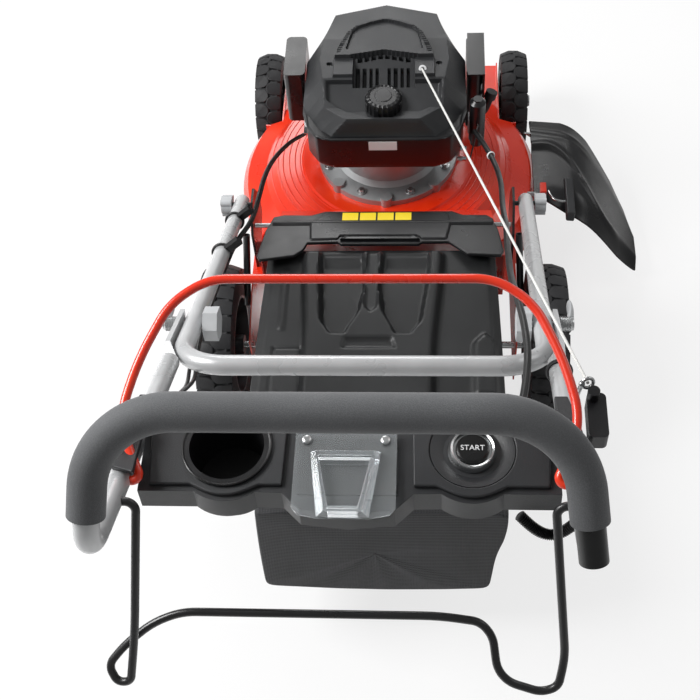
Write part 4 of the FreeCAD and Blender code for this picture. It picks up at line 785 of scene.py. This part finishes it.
# %% [markdown]
# Cables are held to the handle with nylon clips, a white tie and a rubber ring, and the cable
# to the switch runs in ribbed conduit.

# %% Clips, ties and conduit
def ring_at(radius, tube, spot, axis):
    return moved(lathe([(radius + tube * math.cos(a), tube * 1.5 * math.sin(a))
                        for a in (k * math.tau / 10 for k in range(10))], 36), facing(axis, spot))


rail = (Vector((224.5, -805, 674)) - Vector((241, -238, 327))).normalized()
clips = []
for reach in (92, 250):
    spot = Vector((-241, -238, 327)) + Vector((-rail.x, rail.y, rail.z)) * reach
    clips += [ring_at(14.2, 2.2, spot, (-rail.x, rail.y, rail.z)),
              moved(prism([(-4, -7), (4, -7), (4, 7), (-4, 7)], 0, 26), facing((0.8, 0.2, 0.6), spot + Vector((9, 0, 9))))]
piece("cable_clips", joined(*clips), "lower_handle", SATIN, edge=0.8)
piece("plain_sleeve", moved(lathe([(12.7, 0), (13.6, 0), (13.6, 46), (12.7, 46)], 48),
      facing((-20 / 148, 84 / 148, 125 / 148), (231, -1161, 889))), "upper_handle", GLOSS_BLACK)
piece("rubber_ring", ring_at(14, 2.4, (236.5, -815, 677.5), (-0.01, -0.86, 0.5)), "upper_handle", RUBBER)
piece("white_tie", ring_at(6.2, 1.3, (184, -150, 350), (0.3, -0.7, 0.3)), "lower_handle", WHITE)
conduit = [Vector((178 + 70 * s, -1040 - 12 * math.sin(s * math.pi), 742 + 14 * s - 26 * math.sin(s * math.pi)))
           for s in (n / 40 for n in range(41))]
loops = []
for n, spot in enumerate(conduit):
    tangent = (conduit[min(n + 1, 40)] - conduit[max(n - 1, 0)]).normalized()
    frame_of = tangent.to_track_quat("Z", "Y").to_matrix()
    for shift, radius in ((-0.5, 5.2), (0.2, 6.4)):
        loops.append([spot + tangent * shift + frame_of @ Vector((radius * math.cos(a), radius * math.sin(a), 0))
                      for a in (k * math.tau / 16 for k in range(16))])
piece("ribbed_conduit", skin(loops), "upper_handle", SATIN)

# %% [markdown]
# Left of the engine the governor and throttle are worked by thin zinc links and small coil
# springs, all in the open. They are drawn as fine wires on the carburettor's bracket.

# %% Governor links and springs
piece("throttle_bracket", joined(prism([(-150, -34), (-112, -34), (-112, 2), (-138, 8), (-150, -6)], 288, 290.5),
      moved(hexagon(9, 0, 14), facing((0.2, -1, 0), (-146, -10, 296)))), "chassis", ZINC, edge=0.5)
wire("throttle_link", [(-148, 30, 300), (-150, 0, 304), (-146, -24, 300), (-134, -38, 296), (-124, -56, 292)], 1.1,
     "chassis", ZINC)
for name, start, end in (("governor_spring", (-150, 2, 306), (-130, -50, 298)), ("idle_spring", (-128, 10, 300), (-120, -30, 296))):
    start, end = Vector(start), Vector(end)
    line = end - start
    turn_of = line.to_track_quat("Z", "Y").to_matrix()
    coil = [start + line * (n / 120) + turn_of @ Vector((3 * math.cos(n * 0.75), 3 * math.sin(n * 0.75), 0))
            for n in range(121)]
    wire(name, [tuple(spot) for spot in coil], 0.6, "chassis", ZINC)
wire("earth_lead", [(150, -40, 352), (166, -66, 356), (160, -92, 340), (150, -110, 300)], 1.4, "chassis", VINYL)
piece("plug_connector", prism([(146, -66), (160, -66), (160, -44), (146, -44)], 318, 350), "chassis", GREY,
      edge=1.2)

# %% [markdown]
# A pale floor and two large soft lamps stand in for a studio. The white surround is seen at
# full strength only by camera and transmission rays, so it brightens the background without
# flooding the mower with extra light.

# %% Floor, lamps and surround
floor_finish, tree = blank("pale_studio_floor")
where = add(tree, "TexCoord").outputs["Object"]
dust = add(tree, "TexNoise", {"Vector": where, "Scale": 3.0, "Detail": 2.0})
pale = add(tree, "Mix", {"Factor": dust.outputs["Fac"], 6: linear("f2f2f2"), 7: linear("fafafa")}, data_type="RGBA")
lit = add(tree, "BsdfDiffuse", {"Color": pale.outputs[2]})
glow = add(tree, "Emission", {"Color": linear("ffffff"), "Strength": 1.0})
rays = add(tree, "LightPath")
seen = add(tree, "Math", {0: rays.outputs["Is Camera Ray"], 1: 0.75}, operation="MULTIPLY")
blend_of = add(tree, "MixShader", {0: seen.outputs[0], 1: lit.outputs[0], 2: glow.outputs[0]})
add(tree, "OutputMaterial", {"Surface": blend_of.outputs[0]})
bpy.ops.mesh.primitive_plane_add(size=30, location=(0, 0, 0))
floor = bpy.context.object
floor.name = "studio_floor"
floor.data.materials.append(floor_finish)

world = bpy.data.worlds.new("surround")
bpy.context.scene.world = world
world.use_nodes = True
tree = world.node_tree
tree.nodes.clear()
rays = add(tree, "LightPath")
seen = add(tree, "Math", {0: rays.outputs["Is Camera Ray"], 1: rays.outputs["Is Transmission Ray"]},
           operation="MAXIMUM")
strength = add(tree, "MapRange", {"Value": seen.outputs[0], "To Min": 0.3, "To Max": 1.0})
sky = add(tree, "Background", {"Color": linear("ffffff"), "Strength": strength.outputs[0]})
add(tree, "OutputWorld", {"Surface": sky.outputs[0]})

for name, spot, size, power in (("key_lamp", (-1.9, -0.5, 2.3), 1.3, 84), ("fill_lamp", (1.8, 0.4, 2.4), 1.4, 10),
                                ("rear_lamp", (-0.4, 2.2, 1.8), 1.2, 26)):
    lamp = bpy.data.lights.new(name, "AREA")
    lamp.size, lamp.energy = size, power
    holder = bpy.data.objects.new(name, lamp)
    holder.location = spot
    holder.rotation_mode = "QUATERNION"
    holder.rotation_quaternion = (Vector((0, -0.4, 0.4)) - Vector(spot)).to_track_quat("-Z", "Y")
    bpy.context.scene.collection.objects.link(holder)
bpy.context.scene.view_settings.view_transform = "Standard"
